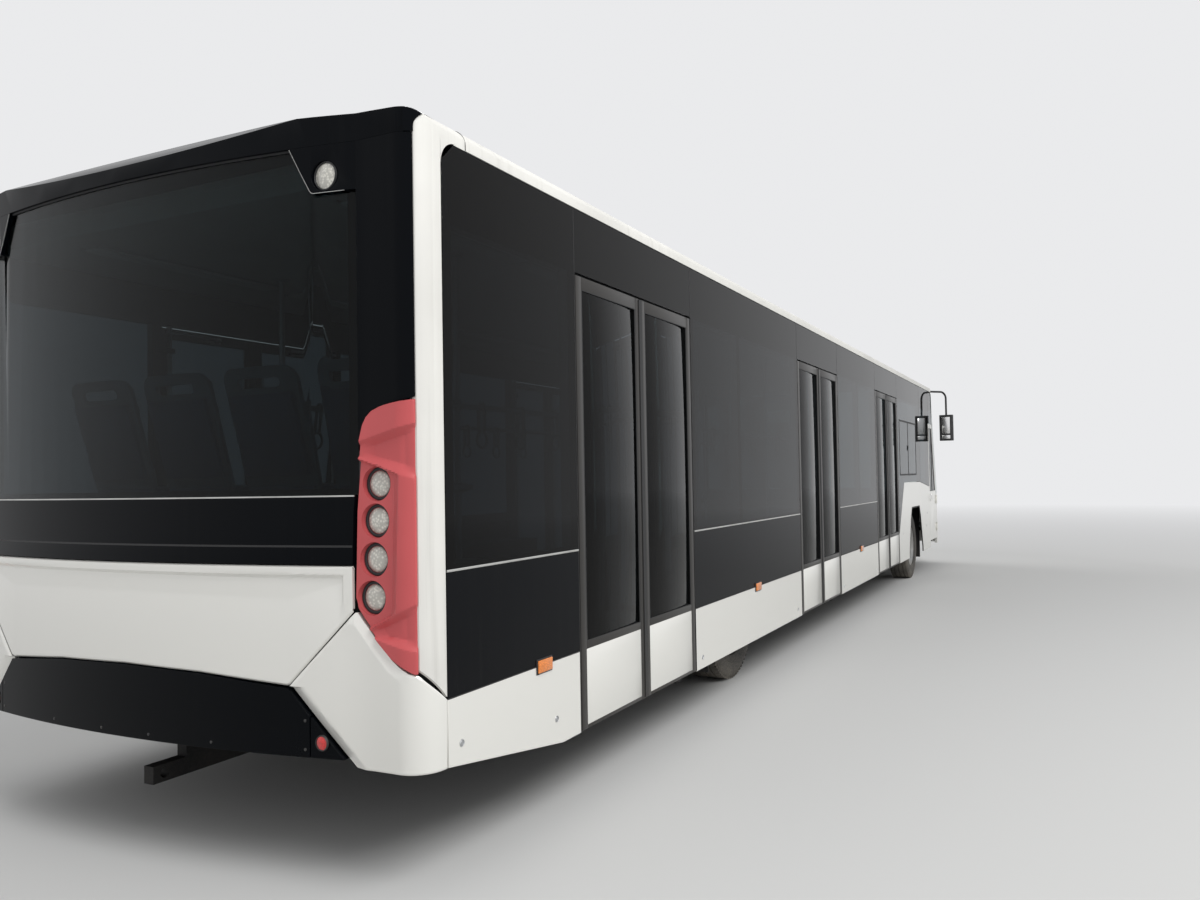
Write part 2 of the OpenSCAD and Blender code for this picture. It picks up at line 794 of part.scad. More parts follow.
module rear_panels() color("#0d0f12") {
  // columns beside the window and the panel under it
  difference() {
    rear_ring(band_top + seam, glass_top - seat_gap, rear_t);
    box([-hl - 1, -rear_half, rear_glass_z], [0, rear_half, glass_top + 1]);
    box([white_x - seam / 2, -half - 1, 0], [0, half + 1, roof_z]);
    lamp_cut(seam);
  }
  // housings of the upper lamps
  difference() {
    intersection() {
      rear_ring(rear_glass_z, glass_top - seat_gap, rear_t);
      rear_plate() for (s = [-1, 1]) scale([s, 1]) housing_outline(0);
    }
    for (s = [-1, 1]) lamp_disc([s * upper_lamp_y, upper_lamp_z], -hl - 10, upper_lamp_x + 18, lamp_r + 6);
  }
  for (s = [-1, 1])
    lamp_disc([s * upper_lamp_y, upper_lamp_z], upper_lamp_x + 8, upper_lamp_x + 20, lamp_r - 2);
  // low panel and its corner fillers
  intersection() {
    rear_ring(panel_bot, band_bot, rear_t);
    rear_plate() {
      polygon([
        [-low_panel_half, panel_bot], [low_panel_half, panel_bot],
        [low_panel_half, corner_z(low_panel_half) - 2 * seam],
        [low_y, band_end - 2 * seam], [low_y / 2, band_bot - 10 - seam], [0, band_bot - seam],
        [-low_y / 2, band_bot - 10 - seam], [-low_y, band_end - 2 * seam],
        [-low_panel_half, corner_z(low_panel_half) - 2 * seam]
      ]);
      for (s = [-1, 1]) scale([s, 1])
        polygon([
          [low_panel_half + seam, panel_bot], [corner_y - 40, panel_bot],
          [low_panel_half + seam, corner_z(low_panel_half + seam) - 2 * seam]
        ]);
    }
  }
}

module rear_window() color("#101418", 0.6) {
  intersection() {
    difference() {
      lower_body(window_in, rear_glass_z + seam, glass_top - seat_gap);
      lower_body(rear_t, rear_glass_z, glass_top);
      rear_plate() for (s = [-1, 1]) scale([s, 1]) housing_outline(seat_gap);
      lamp_cut(seam);
    }
    box([-hl - 1, -rear_half + seam, rear_glass_z], [0, rear_half - seam, roof_z]);
  }
}

// Front end

// The body's half of a cab door hinge: a plate, two knuckles and the pin.
module cab_hinge(z) {
  box([cab_x1 + cab_gap, half - 1, z - 30], [cab_x1 + cab_gap + 45, half + hinge_out, z + 110]);
  for (k = [z - 30, z + 80 + seat_gap]) {
    translate([hinge_x, half + hinge_out, 0]) upright(hinge_r, k, k + 30 - seat_gap);
    box([hinge_x, half + hinge_out - 5, k],
        [cab_x1 + cab_gap + 1, half + hinge_out + 5, k + 30 - seat_gap]);
  }
  translate([hinge_x, half + hinge_out, 0]) upright(hinge_pin_r, z - 30 + eps, z + 110 - eps);
}

module front_bumper() color("#e9e7df") {
  both_sides() for (z = hinge_zs) cab_hinge(z);
  difference() {
    lower_body(0, front_bot, screen_z - seam);
    lower_body(bumper_t, front_bot - 1, screen_z);
    box([-hl - 1, -half - 1, 0], [cab_x1 + cab_gap, half + 1, roof_z]);
    // grille slot and the lamp holes
    box([hl - 300, -820, 760], [hl + 1, 820, 840]);
    both_sides() translate([front_x - 120, lamp_y, head_z])
      rotate([0, 90, 0]) cylinder(r = head_r + seat_gap, h = 200);
  }
}

module windscreen() color("#11161a", 0.6) {
  difference() {
    intersection() {
      upper_body(0, screen_z);
      box([cab_x0 + cab_top_len + 20, -half, screen_z], [hl, half, glass_top]);
    }
    upper_body(panel_t, screen_z - 1);
    side_plate(-half - 1, half + 1) polygon([
      [0, 0], [cab_x1 + cab_gap, 0], [cab_x1 + cab_gap, screen_z], [cab_x0 + cab_top_len + 30, cab_z1 + 30],
      [cab_x0 + cab_top_len - 80, glass_top + 1], [0, glass_top + 1]
    ]);
  }
}

// Cab doors

module cab_outline(g) {
  polygon([
    [cab_x0 + g, cab_z0 + g], [cab_x1 - g, cab_z0 + g], [cab_x1 - g, screen_z - 10],
    [cab_x0 + cab_top_len - g, cab_z1 - g], [cab_x0 + g, cab_z1 - g]
  ]);
}

module cab_door() {
  difference() {
    side_plate(half - leaf_t, half) cab_outline(0);
    side_plate(half - leaf_t - 1, half - panel_t) polygon([
      [cab_x0 + 60, 1240], [cab_x1 - 80, 1240], [cab_x0 + cab_top_len - 55, cab_z1 - 70],
      [cab_x0 + 60, cab_z1 - 70]
    ]);
  }
  // hinge knuckles proud of the outer face
  for (z = hinge_zs)
    translate([hinge_x, half + hinge_out, 0]) difference() {
      union() {
        upright(hinge_r, z, z + 80);
        box([-hinge_r, -hinge_out - 1, z], [hinge_r, 0, z + 80]);
      }
      upright(hinge_pin_r + run_gap, z - 1, z + 81);
    }
  // handle bar at the rear edge
  for (z = [1090, 1180]) box([cab_x0 + 40, half - 1, z], [cab_x0 + 60, half + 26, z + 12]);
  box([cab_x0 + 40, half + 14, 1090], [cab_x0 + 60, half + 26, 1192]);
}

module cab_door_left() color("#dcdad2") cab_door();
module cab_door_right() color("#dcdad2") mirror([0, 1, 0]) cab_door();

// Axles, steering and wheels

module front_axle() color("#2f3133") {
  z = tyre_r;
  box([front_axle_x - 70, -kingpin_y + 130, z - 150], [front_axle_x + 70, kingpin_y - 130, z - 50]);
  both_sides() {
    difference() {
      union() {
        translate([front_axle_x, kingpin_y, 0]) upright(48, z - 130, z - 80);
        translate([front_axle_x, kingpin_y, 0]) upright(48, z + 80, z + 130);
        box([front_axle_x - 48, kingpin_y - 110, z - 130], [front_axle_x + 48, kingpin_y, z - 80]);
        box([front_axle_x - 48, kingpin_y - 110, z + 80], [front_axle_x + 48, kingpin_y, z + 130]);
        box([front_axle_x - 48, kingpin_y - 150, z - 150], [front_axle_x + 48, kingpin_y - 100, z + 130]);
      }
      translate([front_axle_x, kingpin_y, 0]) upright(kingpin_r + run_gap, z - 140, z + 140);
    }
    // links up to the front rails
    box([front_axle_x - 60, 640, z - 60], [front_axle_x + 60, 700, platform_z - 55]);
  }
}

module knuckle() {
  z = tyre_r;
  translate([front_axle_x, kingpin_y, 0]) {
    upright(kingpin_r, z - 126, z + 126);
    upright(44, z - 74, z + 74);
    translate([0, 0, z]) rotate([-90, 0, 0]) cylinder(r = hub_r, h = front_track_y - kingpin_y + 20);
    box([-230, -40, z - 70], [-20, -10, z - 40]);
  }
}

module knuckle_left() color("#46494c") knuckle();
module knuckle_right() color("#46494c") mirror([0, 1, 0]) knuckle();

module rear_axle() color("#2f3133") {
  z = tyre_r;
  translate([rear_axle_x, 0, z - 170])
    box([-60, -rear_track_y + 190, -50], [60, rear_track_y - 190, 50]);
  both_sides() {
    box([rear_axle_x - 60, rear_track_y - 210, z - 220], [rear_axle_x + 60, rear_track_y - 150, z + 60]);
    translate([rear_axle_x, rear_track_y - 190, z]) rotate([-90, 0, 0]) cylinder(r = hub_r, h = 210);
    // trailing arms up to the long rails
    box([rear_axle_x + 40, 760, z - 200], [rear_axle_x + 880 - 0.3, 820, z - 120]);
  }
}

// A tyre around the Y axis, its middle plane at y = 0.
module tyre() {
  rotate([-90, 0, 0]) rotate_extrude($fn = 48) polygon([
    [rim_r, -tyre_w / 2 + 22], [rim_r + 60, -tyre_w / 2 + 2], [tyre_r - 70, -tyre_w / 2],
    [tyre_r - 18, -tyre_w / 2 + 22], [tyre_r, -tyre_w / 2 + 48], [tyre_r, tyre_w / 2 - 48],
    [tyre_r - 18, tyre_w / 2 - 22], [tyre_r - 70, tyre_w / 2], [rim_r + 60, tyre_w / 2 - 2],
    [rim_r, tyre_w / 2 - 22]
  ]);
}

// A wheel disc and its rim, outer side towards +Y, with bolt studs.
module rim() {
  difference() {
    rotate([-90, 0, 0]) rotate_extrude() polygon([
      [rim_r, -tyre_w / 2 + 24], [rim_r, tyre_w / 2 - 24], [rim_r - 14, tyre_w / 2 - 24],
      [rim_r - 30, tyre_w / 2 - 60], [rim_r - 44, 10], [bolt_circle_r + 34, 26],
      [bolt_circle_r + 24, 44], [bolt_circle_r - 50, 44], [bolt_circle_r - 60, 84],
      [20, 92], [0.01, 92], [0.01, 60], [hub_r + run_gap, 60], [hub_r + run_gap, 30 - tyre_w / 2 + 20],
      [bolt_circle_r - 60, 30 - tyre_w / 2 + 20], [bolt_circle_r - 50, 28], [bolt_circle_r + 20, 28],
      [rim_r - 56, -8], [rim_r - 40, -tyre_w / 2 + 24]
    ]);
    for (i = [0:7]) rotate([0, i * 45, 0])
      translate([rim_r - 70, -60, 0]) rotate([-90, 0, 0]) cylinder(r = 16, h = 140);
  }
  for (i = [0:bolt_count - 1])
    rotate([0, i * 360 / bolt_count, 0]) translate([bolt_circle_r, 40, 0]) rotate([-90, 0, 0])
      cylinder(r = stud_r, h = 34);
}

// A wheel in its place on the side s; the right wheels stand half a bolt step further round.
module at_wheel(x, y, s) {
  translate([x, s * y, tyre_r]) rotate([0, s > 0 ? 0 : 180 / bolt_count, 0]) scale([1, s, 1]) children();
}

module tyre_front_left() color("#1a1a1a") at_wheel(front_axle_x, front_track_y, 1) tyre();
module tyre_front_right() color("#1a1a1a") at_wheel(front_axle_x, front_track_y, -1) tyre();
module tyre_rear_left() color("#1a1a1a") at_wheel(rear_axle_x, rear_track_y, 1) tyre();
module tyre_rear_right() color("#1a1a1a") at_wheel(rear_axle_x, rear_track_y, -1) tyre();
module rim_front_left() color("#9a9c9e") at_wheel(front_axle_x, front_track_y, 1) rim();
module rim_front_right() color("#9a9c9e") at_wheel(front_axle_x, front_track_y, -1) rim();
module rim_rear_left() color("#9a9c9e") at_wheel(rear_axle_x, rear_track_y, 1) rim();
module rim_rear_right() color("#9a9c9e") at_wheel(rear_axle_x, rear_track_y, -1) rim();

module engine() color("#4b4f52") {
  box([split_x + 200.3, -560, rail_bot + 60], [cab_x0 - 90, 560, platform_z - 20]);
}

// Inside

// Rear platform for the seats, stepped over the raised floor.
module podium() color("#55595c") {
  y = wall_in - 30;
  side_plate(-y, y) polygon([
    [floor_back + 60, raised_floor_z + seat_gap], [floor_step_x, raised_floor_z + seat_gap],
    [floor_step_x, floor_z + seat_gap], [floor_back + podium_len, floor_z + seat_gap],
    [floor_back + podium_len, podium_z], [floor_back + 60, podium_z]
  ]);
}

// One seat from the side: foot, cushion and a reclined back.
module seat_profile(h) {
  polygon([
    [70, 0], [330, 0], [310, 40], [290, h - 90], [440, h - 70], [440, h - 12], [120, h - 28],
    [back_t - 25, h + back_h - 20], [10, h + back_h], [-55, h + back_h - 10], [20, h - 70],
    [130, h - 90], [90, 40]
  ]);
  translate([440, h - 41]) circle(r = 29);
  translate([-22, h + back_h - 10]) circle(r = 32);
}

// One seat with its back to the rear, at the origin of its seat foot.
module seat(h) {
  difference() {
    side_plate(-seat_w / 2, seat_w / 2) seat_profile(h);
    // the foot is narrower than the shell
    for (s = [-1, 1]) scale([1, s, 1]) box([50, 70, -1], [345, seat_w / 2 + 1, h - 90]);
    // hand hold through the back
    box([-80, -seat_w / 2 + 100, h + back_h - 90], [back_t + 20, seat_w / 2 - 100, h + back_h - 45]);
  }
}

module seats() color("#39434d") {
  for (i = [-1.5, -0.5, 0.5, 1.5])
    translate([floor_back + 200, i * (seat_w + 90), podium_z + seat_gap]) seat(seat_h);
  translate([driver_x, 760, cab_floor_z + seat_gap]) seat(seat_h);
}

module cab_fittings() color("#2a2c2f") {
  // partition behind the driver, on the edge of the platform
  box([floor_front - 50, -wall_in, platform_z], [floor_front - 20, wall_in, platform_z + 250]);
  both_sides() box([floor_front - 50, wall_in - 60, platform_z], [floor_front - 20, wall_in, ceiling_z]);
  box([floor_front - 50, -30, platform_z], [floor_front - 20, 30, ceiling_z]);
  // dash panel under the windscreen
  difference() {
    lower_body(bumper_t + seat_gap, 1060, screen_z - 40);
    box([-hl, -half, 0], [front_x - 330, half, roof_z]);
  }
  // steering column and wheel
  translate([front_x - 520, 760, cab_floor_z]) {
    upright(30, 0, 550);
    translate([0, 0, 540]) rotate_extrude() translate([210, 0]) circle(r = 14);
    box([-205, -12, 534], [205, 12, 546]);
  }
}

module grab_poles() color("#c9b23a") {
  xs = [door_rear_x - 520, door_rear_x + 620, rear_axle_x + 800, door_mid_x + 1000, door_front_x - 900];
  for (x = xs, s = [-1, 1]) translate([x, s * 640, 0]) upright(pole_r, floor_z, ceiling_z);
}

module wipers() color("#16181a") {
  for (s = [-1, 1])
    translate([nose_x(420), s * 420, screen_z]) rotate([0, -screen_lean, 0]) translate([seat_gap, 0, 40])
      box([0, -12, 0], [20, 12, 620]);
}

module lamps() color("#e8e2c8") {
  both_sides() {
    // round headlamps
    translate([front_x - 40, lamp_y, head_z]) rotate([0, 90, 0]) cylinder(r = head_r, h = 60);
    // orange side markers on the skirt's upper edge
    for (x = marker_xs)
      box([x - marker_len / 2, half, skirt_top - 40],
          [x + marker_len / 2, half + marker_t, skirt_top + 45]);
  }
}

module mirrors() color("#17191b") {
  a = atan2(mirror_out, mirror_fwd);
  l = norm([mirror_out, mirror_fwd]);
  both_sides() {
    // arched arm from the roof's edge, out and down to the housing
    difference() {
      translate([mirror_foot_x, half - 30, glass_top + 22]) rotate([0, 0, a]) {
        rotate([0, 90, 0]) cylinder(r = 16, h = l - 110);
        translate([l - 110, 0, -110]) rotate([90, 0, 0]) rotate_extrude(angle = 90)
          translate([110, 0]) circle(r = 16);
        translate([l, 0, mirror_z1 - glass_top - 30]) cylinder(r = 16, h = glass_top - mirror_z1 - 80);
      }
      roof_slab(-seat_gap);
    }
    // housing with round upright edges
    translate([mirror_foot_x + mirror_fwd, half - 30 + mirror_out, mirror_z0])
      linear_extrude(height = mirror_z1 - mirror_z0) {
        square([50, 220], center = true);
        square([120, 150], center = true);
        for (x = [-25, 25], y = [-75, 75]) translate([x, y]) circle(r = 35);
      }
  }
}

// Passenger doors

// Puts a leaf or arm on its jamb. Its U runs to the doorway's middle, its V inwards.
module at_jamb(i, s, e) {
  translate([door_xs[i] - e * door_w / 2, s * half, 0]) scale([e, -s, 1]) children();
}

module leaf() {
  difference() {
    box([leaf_gap, 0, leaf_bot], [leaf_gap + leaf_w, leaf_t, leaf_top]);
    box([leaf_gap + stile_w, 10, skirt_top + 40],
        [leaf_gap + leaf_w - meet_w, leaf_t + 1, leaf_top - head_h]);
    box([leaf_gap + stile_w, -1, skirt_top + 40], [leaf_gap + leaf_w - meet_w, 4, leaf_top - head_h]);
  }
  for (z = [arm_low_z, arm_high_z])
    difference() {
      union() {
        box([pivot_u - 16, leaf_t - 1, z - 20], [pivot_u + 16, post_v, z - 2]);
        translate([pivot_u, post_v, 0]) upright(16, z - 20, z - 2);
      }
      translate([pivot_u, post_v, 0]) upright(pin_r + run_gap, z - 21, z - 1);
    }
}

// A goose-necked arm seen from above, from the post over the elbow to the pivot.
module arm_outline() {
  a = arm_turn - 90;
  eu = elbow_len * cos(a);
  ev = elbow_len * sin(a);
  b = atan2(-ev, arm_len - eu);
  circle(r = post_r + 7);
  rotate(a) translate([0, -arm_w / 2]) square([elbow_len, arm_w]);
  translate([eu, ev]) {
    circle(r = arm_w / 2 + 1);
    rotate(b) translate([0, -arm_w / 2]) square([norm([arm_len - eu, ev]), arm_w]);
  }
  translate([arm_len, 0]) circle(r = arm_w / 2 + 1);
}

module arm() {
  translate([post_u, post_v, 0]) {
    upright(post_r, floor_z + seat_gap, door_top - seat_gap);
    for (z = [arm_low_z, arm_high_z]) {
      translate([0, 0, z]) linear_extrude(height = arm_t) arm_outline();
      translate([arm_len, 0, 0]) upright(pin_r, z - 22, z + arm_t + 4);
    }
  }
}

paint = "#e9e7df";
steel = "#8d9194";
module leaf_right_1_aft() color(paint) at_jamb(0, -1, 1) leaf();
module leaf_right_1_fore() color(paint) at_jamb(0, -1, -1) leaf();
module leaf_right_2_aft() color(paint) at_jamb(1, -1, 1) leaf();
module leaf_right_2_fore() color(paint) at_jamb(1, -1, -1) leaf();
module leaf_right_3_aft() color(paint) at_jamb(2, -1, 1) leaf();
module leaf_right_3_fore() color(paint) at_jamb(2, -1, -1) leaf();
module leaf_left_1_aft() color(paint) at_jamb(0, 1, 1) leaf();
module leaf_left_1_fore() color(paint) at_jamb(0, 1, -1) leaf();
module leaf_left_2_aft() color(paint) at_jamb(1, 1, 1) leaf();
module leaf_left_2_fore() color(paint) at_jamb(1, 1, -1) leaf();
module leaf_left_3_aft() color(paint) at_jamb(2, 1, 1) leaf();
module leaf_left_3_fore() color(paint) at_jamb(2, 1, -1) leaf();
module arm_right_1_aft() color(steel) at_jamb(0, -1, 1) arm();
module arm_right_1_fore() color(steel) at_jamb(0, -1, -1) arm();
module arm_right_2_aft() color(steel) at_jamb(1, -1, 1) arm();
module arm_right_2_fore() color(steel) at_jamb(1, -1, -1) arm();
module arm_right_3_aft() color(steel) at_jamb(2, -1, 1) arm();
module arm_right_3_fore() color(steel) at_jamb(2, -1, -1) arm();
module arm_left_1_aft() color(steel) at_jamb(0, 1, 1) arm();
module arm_left_1_fore() color(steel) at_jamb(0, 1, -1) arm();
module arm_left_2_aft() color(steel) at_jamb(1, 1, 1) arm();
module arm_left_2_fore() color(steel) at_jamb(1, 1, -1) arm();
module arm_left_3_aft() color(steel) at_jamb(2, 1, 1) arm();
module arm_left_3_fore() color(steel) at_jamb(2, 1, -1) arm();

chassis();
body_frame();
skirt_panels();
lower_panels();
side_glazing();
roof();
rear_cap();
rear_bumper();
rear_panels();
rear_window();
tail_lamps();
front_bumper();
windscreen();
front_axle();
rear_axle();
engine();
podium();
seats();
cab_fittings();
grab_poles();
wipers();
lamps();
mirrors();
cab_door_left();
cab_door_right();
knuckle_left();
knuckle_right();
tyre_front_left();
tyre_front_right();
tyre_rear_left();
tyre_rear_right();
rim_front_left();
rim_front_right();
rim_rear_left();
rim_rear_right();
leaf_right_1_aft();
leaf_right_1_fore();
leaf_right_2_aft();
leaf_right_2_fore();
leaf_right_3_aft();
leaf_right_3_fore();
leaf_left_1_aft();
leaf_left_1_fore();
leaf_left_2_aft();
leaf_left_2_fore();
leaf_left_3_aft();
leaf_left_3_fore();
arm_right_1_aft();
arm_right_1_fore();
arm_right_2_aft();
arm_right_2_fore();
arm_right_3_aft();
arm_right_3_fore();
arm_left_1_aft();
arm_left_1_fore();
arm_left_2_aft();
arm_left_2_fore();
arm_left_3_aft();
arm_left_3_fore();
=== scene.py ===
"""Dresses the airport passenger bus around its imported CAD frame.

The frame is +X to the front, +Y to the left, +Z up, in metres, with the origin on the
ground under the middle of the bus. Every piece is made in that frame and rides a body.
"""

import abc
import logging
import math
from dataclasses import dataclass, field
from enum import Enum
from functools import cache
from typing import Callable, Iterable, Sequence

import bmesh
import bpy
from mathutils import Matrix, Vector


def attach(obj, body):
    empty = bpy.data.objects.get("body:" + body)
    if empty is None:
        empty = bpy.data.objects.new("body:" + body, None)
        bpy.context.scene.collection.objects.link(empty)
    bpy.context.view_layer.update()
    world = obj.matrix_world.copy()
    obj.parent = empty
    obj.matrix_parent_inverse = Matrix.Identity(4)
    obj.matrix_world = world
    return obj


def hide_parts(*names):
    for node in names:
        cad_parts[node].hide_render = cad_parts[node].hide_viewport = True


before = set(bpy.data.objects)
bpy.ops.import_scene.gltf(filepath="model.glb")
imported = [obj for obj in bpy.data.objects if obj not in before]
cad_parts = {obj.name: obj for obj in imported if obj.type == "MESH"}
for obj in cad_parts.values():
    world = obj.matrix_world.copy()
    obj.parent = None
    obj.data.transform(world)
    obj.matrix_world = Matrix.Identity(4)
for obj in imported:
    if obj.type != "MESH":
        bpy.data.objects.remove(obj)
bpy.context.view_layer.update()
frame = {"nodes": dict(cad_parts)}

LOG = logging.getLogger("bus")
Colour = tuple[float, float, float]
Point = tuple[float, float, float]
Flat = tuple[float, float]
Line = tuple[Flat, ...]

# Sizes shared with the construction, in metres
HALF = 1.5
HL = 6.9
REAR_X = -6.79
REAR_BOW = 0.11
REAR_HALF = 1.2
REAR_R = (REAR_HALF**2 + REAR_BOW**2) / (2 * REAR_BOW)
REAR_CORNER_R = 0.12
FRONT_BOW = 0.17
FRONT_HALF = 1.15
FRONT_R = (FRONT_HALF**2 + FRONT_BOW**2) / (2 * FRONT_BOW)
SCREEN_Z = 1.19
SCREEN_LEAN = math.radians(15)
GLASS_TOP = 2.865
ROOF_EDGE_R = 0.0715
ROOF_EDGE_Z = 2.885
WAIST_Z = 1.21
SKIRT_TOP = 0.725
SKIRT_BOT = 0.34
SKIRT_LIFT = 0.13
SKIRT_BEND_X = -5.825
PILLAR_X = -6.655
DOOR_XS = (-4.94, -1.138, 2.15)
DOOR_W = 1.43
DOOR_TOP = 2.548
FLOOR_Z = 0.42
CEILING_Z = 2.78
FRONT_AXLE_X = 4.23
REAR_AXLE_X = -2.87
TYRE_R = 0.478
TYRE_W = 0.275
RIM_R = 0.29
TRACKS = {"front": 1.29, "rear": 1.112}

# Meshing: what counts as touching, how far vertices are welded, what stays a sharp edge
NEAR = 0.00001
WELD = 0.00002
SHARP_DEGREES = 35.0


class Side(Enum):
    """A side of the bus, with the sign of its Y."""

    RIGHT = -1
    LEFT = 1

    @property
    def word(self) -> str:
        """The side's name as the nodes spell it."""
        return self.name.lower()


class End(Enum):
    """The end of a doorway that a leaf hangs at, with the sign that turns U into X."""

    AFT = 1
    FORE = -1

    @property
    def word(self) -> str:
        """The end's name as the nodes spell it."""
        return self.name.lower()


# Shader graphs


class Graph:
    """A node tree being filled, with short calls for nodes and links."""

    def __init__(self, tree: bpy.types.NodeTree) -> None:
        """Starts on an empty tree.

        Args:
            tree: the material's or the group's node tree.
        """
        self.tree = tree
        tree.nodes.clear()

    def add(self, kind: str, **values: object) -> bpy.types.Node:
        """Adds a node and sets its properties.

        Args:
            kind: the node's Blender type.
            values: properties by name; a name with a capital is an input socket, and a
                node or a socket given as its value is linked to it.

        Returns:
            The new node.
        """
        return self.fill(self.tree.nodes.new(kind), **values)

    def fill(self, node: bpy.types.Node, **values: object) -> bpy.types.Node:
        """Sets a node's properties and input sockets.

        Args:
            node: the node.
            values: as for add.

        Returns:
            The node.
        """
        for key, value in values.items():
            if key[0].islower():
                setattr(node, key, value)
            else:
                self.feed(value, node.inputs[key.replace("_", " ")])
        return node

    def where(self) -> bpy.types.NodeSocket:
        """The place that is being shaded, in the piece's own coordinates."""
        return self.add("ShaderNodeTexCoord").outputs["Object"]

    def feed(self, value: object, socket: bpy.types.NodeSocket) -> None:
        """Links a socket to another, or sets its value.

        Args:
            value: an output socket, a node whose first output is meant, or a constant.
            socket: the input that takes it.
        """
        if isinstance(value, bpy.types.Node):
            value = value.outputs[0]
        if isinstance(value, bpy.types.NodeSocket):
            self.tree.links.new(value, socket)
        else:
            socket.default_value = value

    def math(self, operation: str, *values: object) -> bpy.types.NodeSocket:
        """Adds a Math node.

        Args:
            operation: what it does.
            values: its inputs in order.

        Returns:
            Its output socket.
        """
        node = self.add("ShaderNodeMath", operation=operation)
        for socket, value in zip(node.inputs, values):
            self.feed(value, socket)
        return node.outputs[0]

    def ramp(self, value: object, low: float, high: float) -> bpy.types.NodeSocket:
        """Maps a value's stretch from low to high onto 0 to 1.

        Args:
            value: the socket to map.
            low: where the result is 0.
            high: where the result is 1.

        Returns:
            The clamped result.
        """
        node = self.add("ShaderNodeMapRange", clamp=True)
        self.feed(value, node.inputs[0])
        node.inputs[1].default_value = low
        node.inputs[2].default_value = high
        return node.outputs[0]

    def noise(self, vector: object, scale: float, detail: float = 3.0) -> bpy.types.NodeSocket:
        """Adds a noise texture.

        Args:
            vector: where it is read.
            scale: its scale in one over metres.
            detail: its number of octaves.

        Returns:
            Its plain factor.
        """
        node = self.add("ShaderNodeTexNoise", Vector=vector, Scale=scale, Detail=detail)
        return node.outputs[0]

    def stretch(self, vector: object, scale: Point) -> bpy.types.NodeSocket:
        """Scales a vector per axis.

        Args:
            vector: the coordinates.
            scale: the factors along X, Y and Z.

        Returns:
            The scaled coordinates.
        """
        return self.add("ShaderNodeMapping", Vector=vector, Scale=scale).outputs[0]


class Effects:
    """The node groups that several finishes share, each built once."""

    @staticmethod
    def _group(
        name: str, inputs: dict[str, float], outputs: Sequence[str],
    ) -> tuple[bpy.types.NodeTree, Graph]:
        """Makes an empty group with its sockets.

        Args:
            name: the group's name.
            inputs: its number inputs with their usual values.
            outputs: its outputs, all plain numbers.

        Returns:
            The group and a graph on it.
        """
        tree = bpy.data.node_groups.new(name, "ShaderNodeTree")
        for key, value in inputs.items():
            socket = tree.interface.new_socket(key, in_out="INPUT", socket_type="NodeSocketFloat")
            socket.default_value = value
        for key in outputs:
            tree.interface.new_socket(key, in_out="OUTPUT", socket_type="NodeSocketFloat")
        return tree, Graph(tree)

    @classmethod
    @cache
    def road_dust(cls) -> bpy.types.NodeTree:
        """Dust that gathers towards the ground.

        Returns:
            A group with the output Mask, 0 clean to 1 dusty.
        """
        tree, g = cls._group("road_dust", {"Amount": 0.5, "Reach": 1.0}, ["Mask"])
        start = g.add("NodeGroupInput")
        where = g.where()
        height = g.add("ShaderNodeSeparateXYZ", Vector=where).outputs["Z"]
        low = g.math("SUBTRACT", 1.0, g.math("DIVIDE", height, start.outputs["Reach"]))
        low = g.math("POWER", g.math("MAXIMUM", low, 0.0), 1.6)
        cloud = g.ramp(g.noise(where, 3.5, 5.0), 0.3, 0.75)
        speck = g.ramp(g.noise(where, 90.0, 3.0), 0.42, 0.7)
        mask = g.math("MULTIPLY", low, g.math("MULTIPLY_ADD", cloud, 0.75, g.math("MULTIPLY", speck, 0.4)))
        mask = g.math("MINIMUM", g.math("MULTIPLY", mask, start.outputs["Amount"]), 1.0)
        g.add("NodeGroupOutput", Mask=mask)
        return tree

    @classmethod
    @cache
    def rain_streaks(cls) -> bpy.types.NodeTree:
        """Fine streaks that water leaves as it runs down.

        Returns:
            A group with the output Mask.
        """
        tree, g = cls._group("rain_streaks", {"Amount": 0.3}, ["Mask"])
        start = g.add("NodeGroupInput")
        where = g.where()
        fine = g.noise(g.stretch(where, (34.0, 34.0, 0.9)), 1.0, 4.0)
        broad = g.noise(g.stretch(where, (3.0, 3.0, 0.35)), 1.0, 2.0)
        mask = g.math("MULTIPLY", g.ramp(fine, 0.5, 0.82), g.ramp(broad, 0.38, 0.7))
        g.add("NodeGroupOutput", Mask=g.math("MULTIPLY", mask, start.outputs["Amount"]))
        return tree

    @classmethod
    @cache
    def grain(cls) -> bpy.types.NodeTree:
        """Fine grain of moulded or sprayed surfaces.

        Returns:
            A group with the outputs Height for a bump and Drift for colour.
        """
        tree, g = cls._group("grain", {"Scale": 200.0}, ["Height", "Drift"])
        start = g.add("NodeGroupInput")
        where = g.where()
        fine = g.add("ShaderNodeTexNoise", Vector=where, Scale=start.outputs["Scale"], Detail=2.0).outputs[0]
        cells = g.add("ShaderNodeTexVoronoi", Vector=where, Scale=start.outputs["Scale"]).outputs["Distance"]
        height = g.math("ADD", fine, g.math("MULTIPLY", cells, 0.5))
        g.add("NodeGroupOutput", Height=height, Drift=g.noise(where, 1.7, 3.0))
        return tree


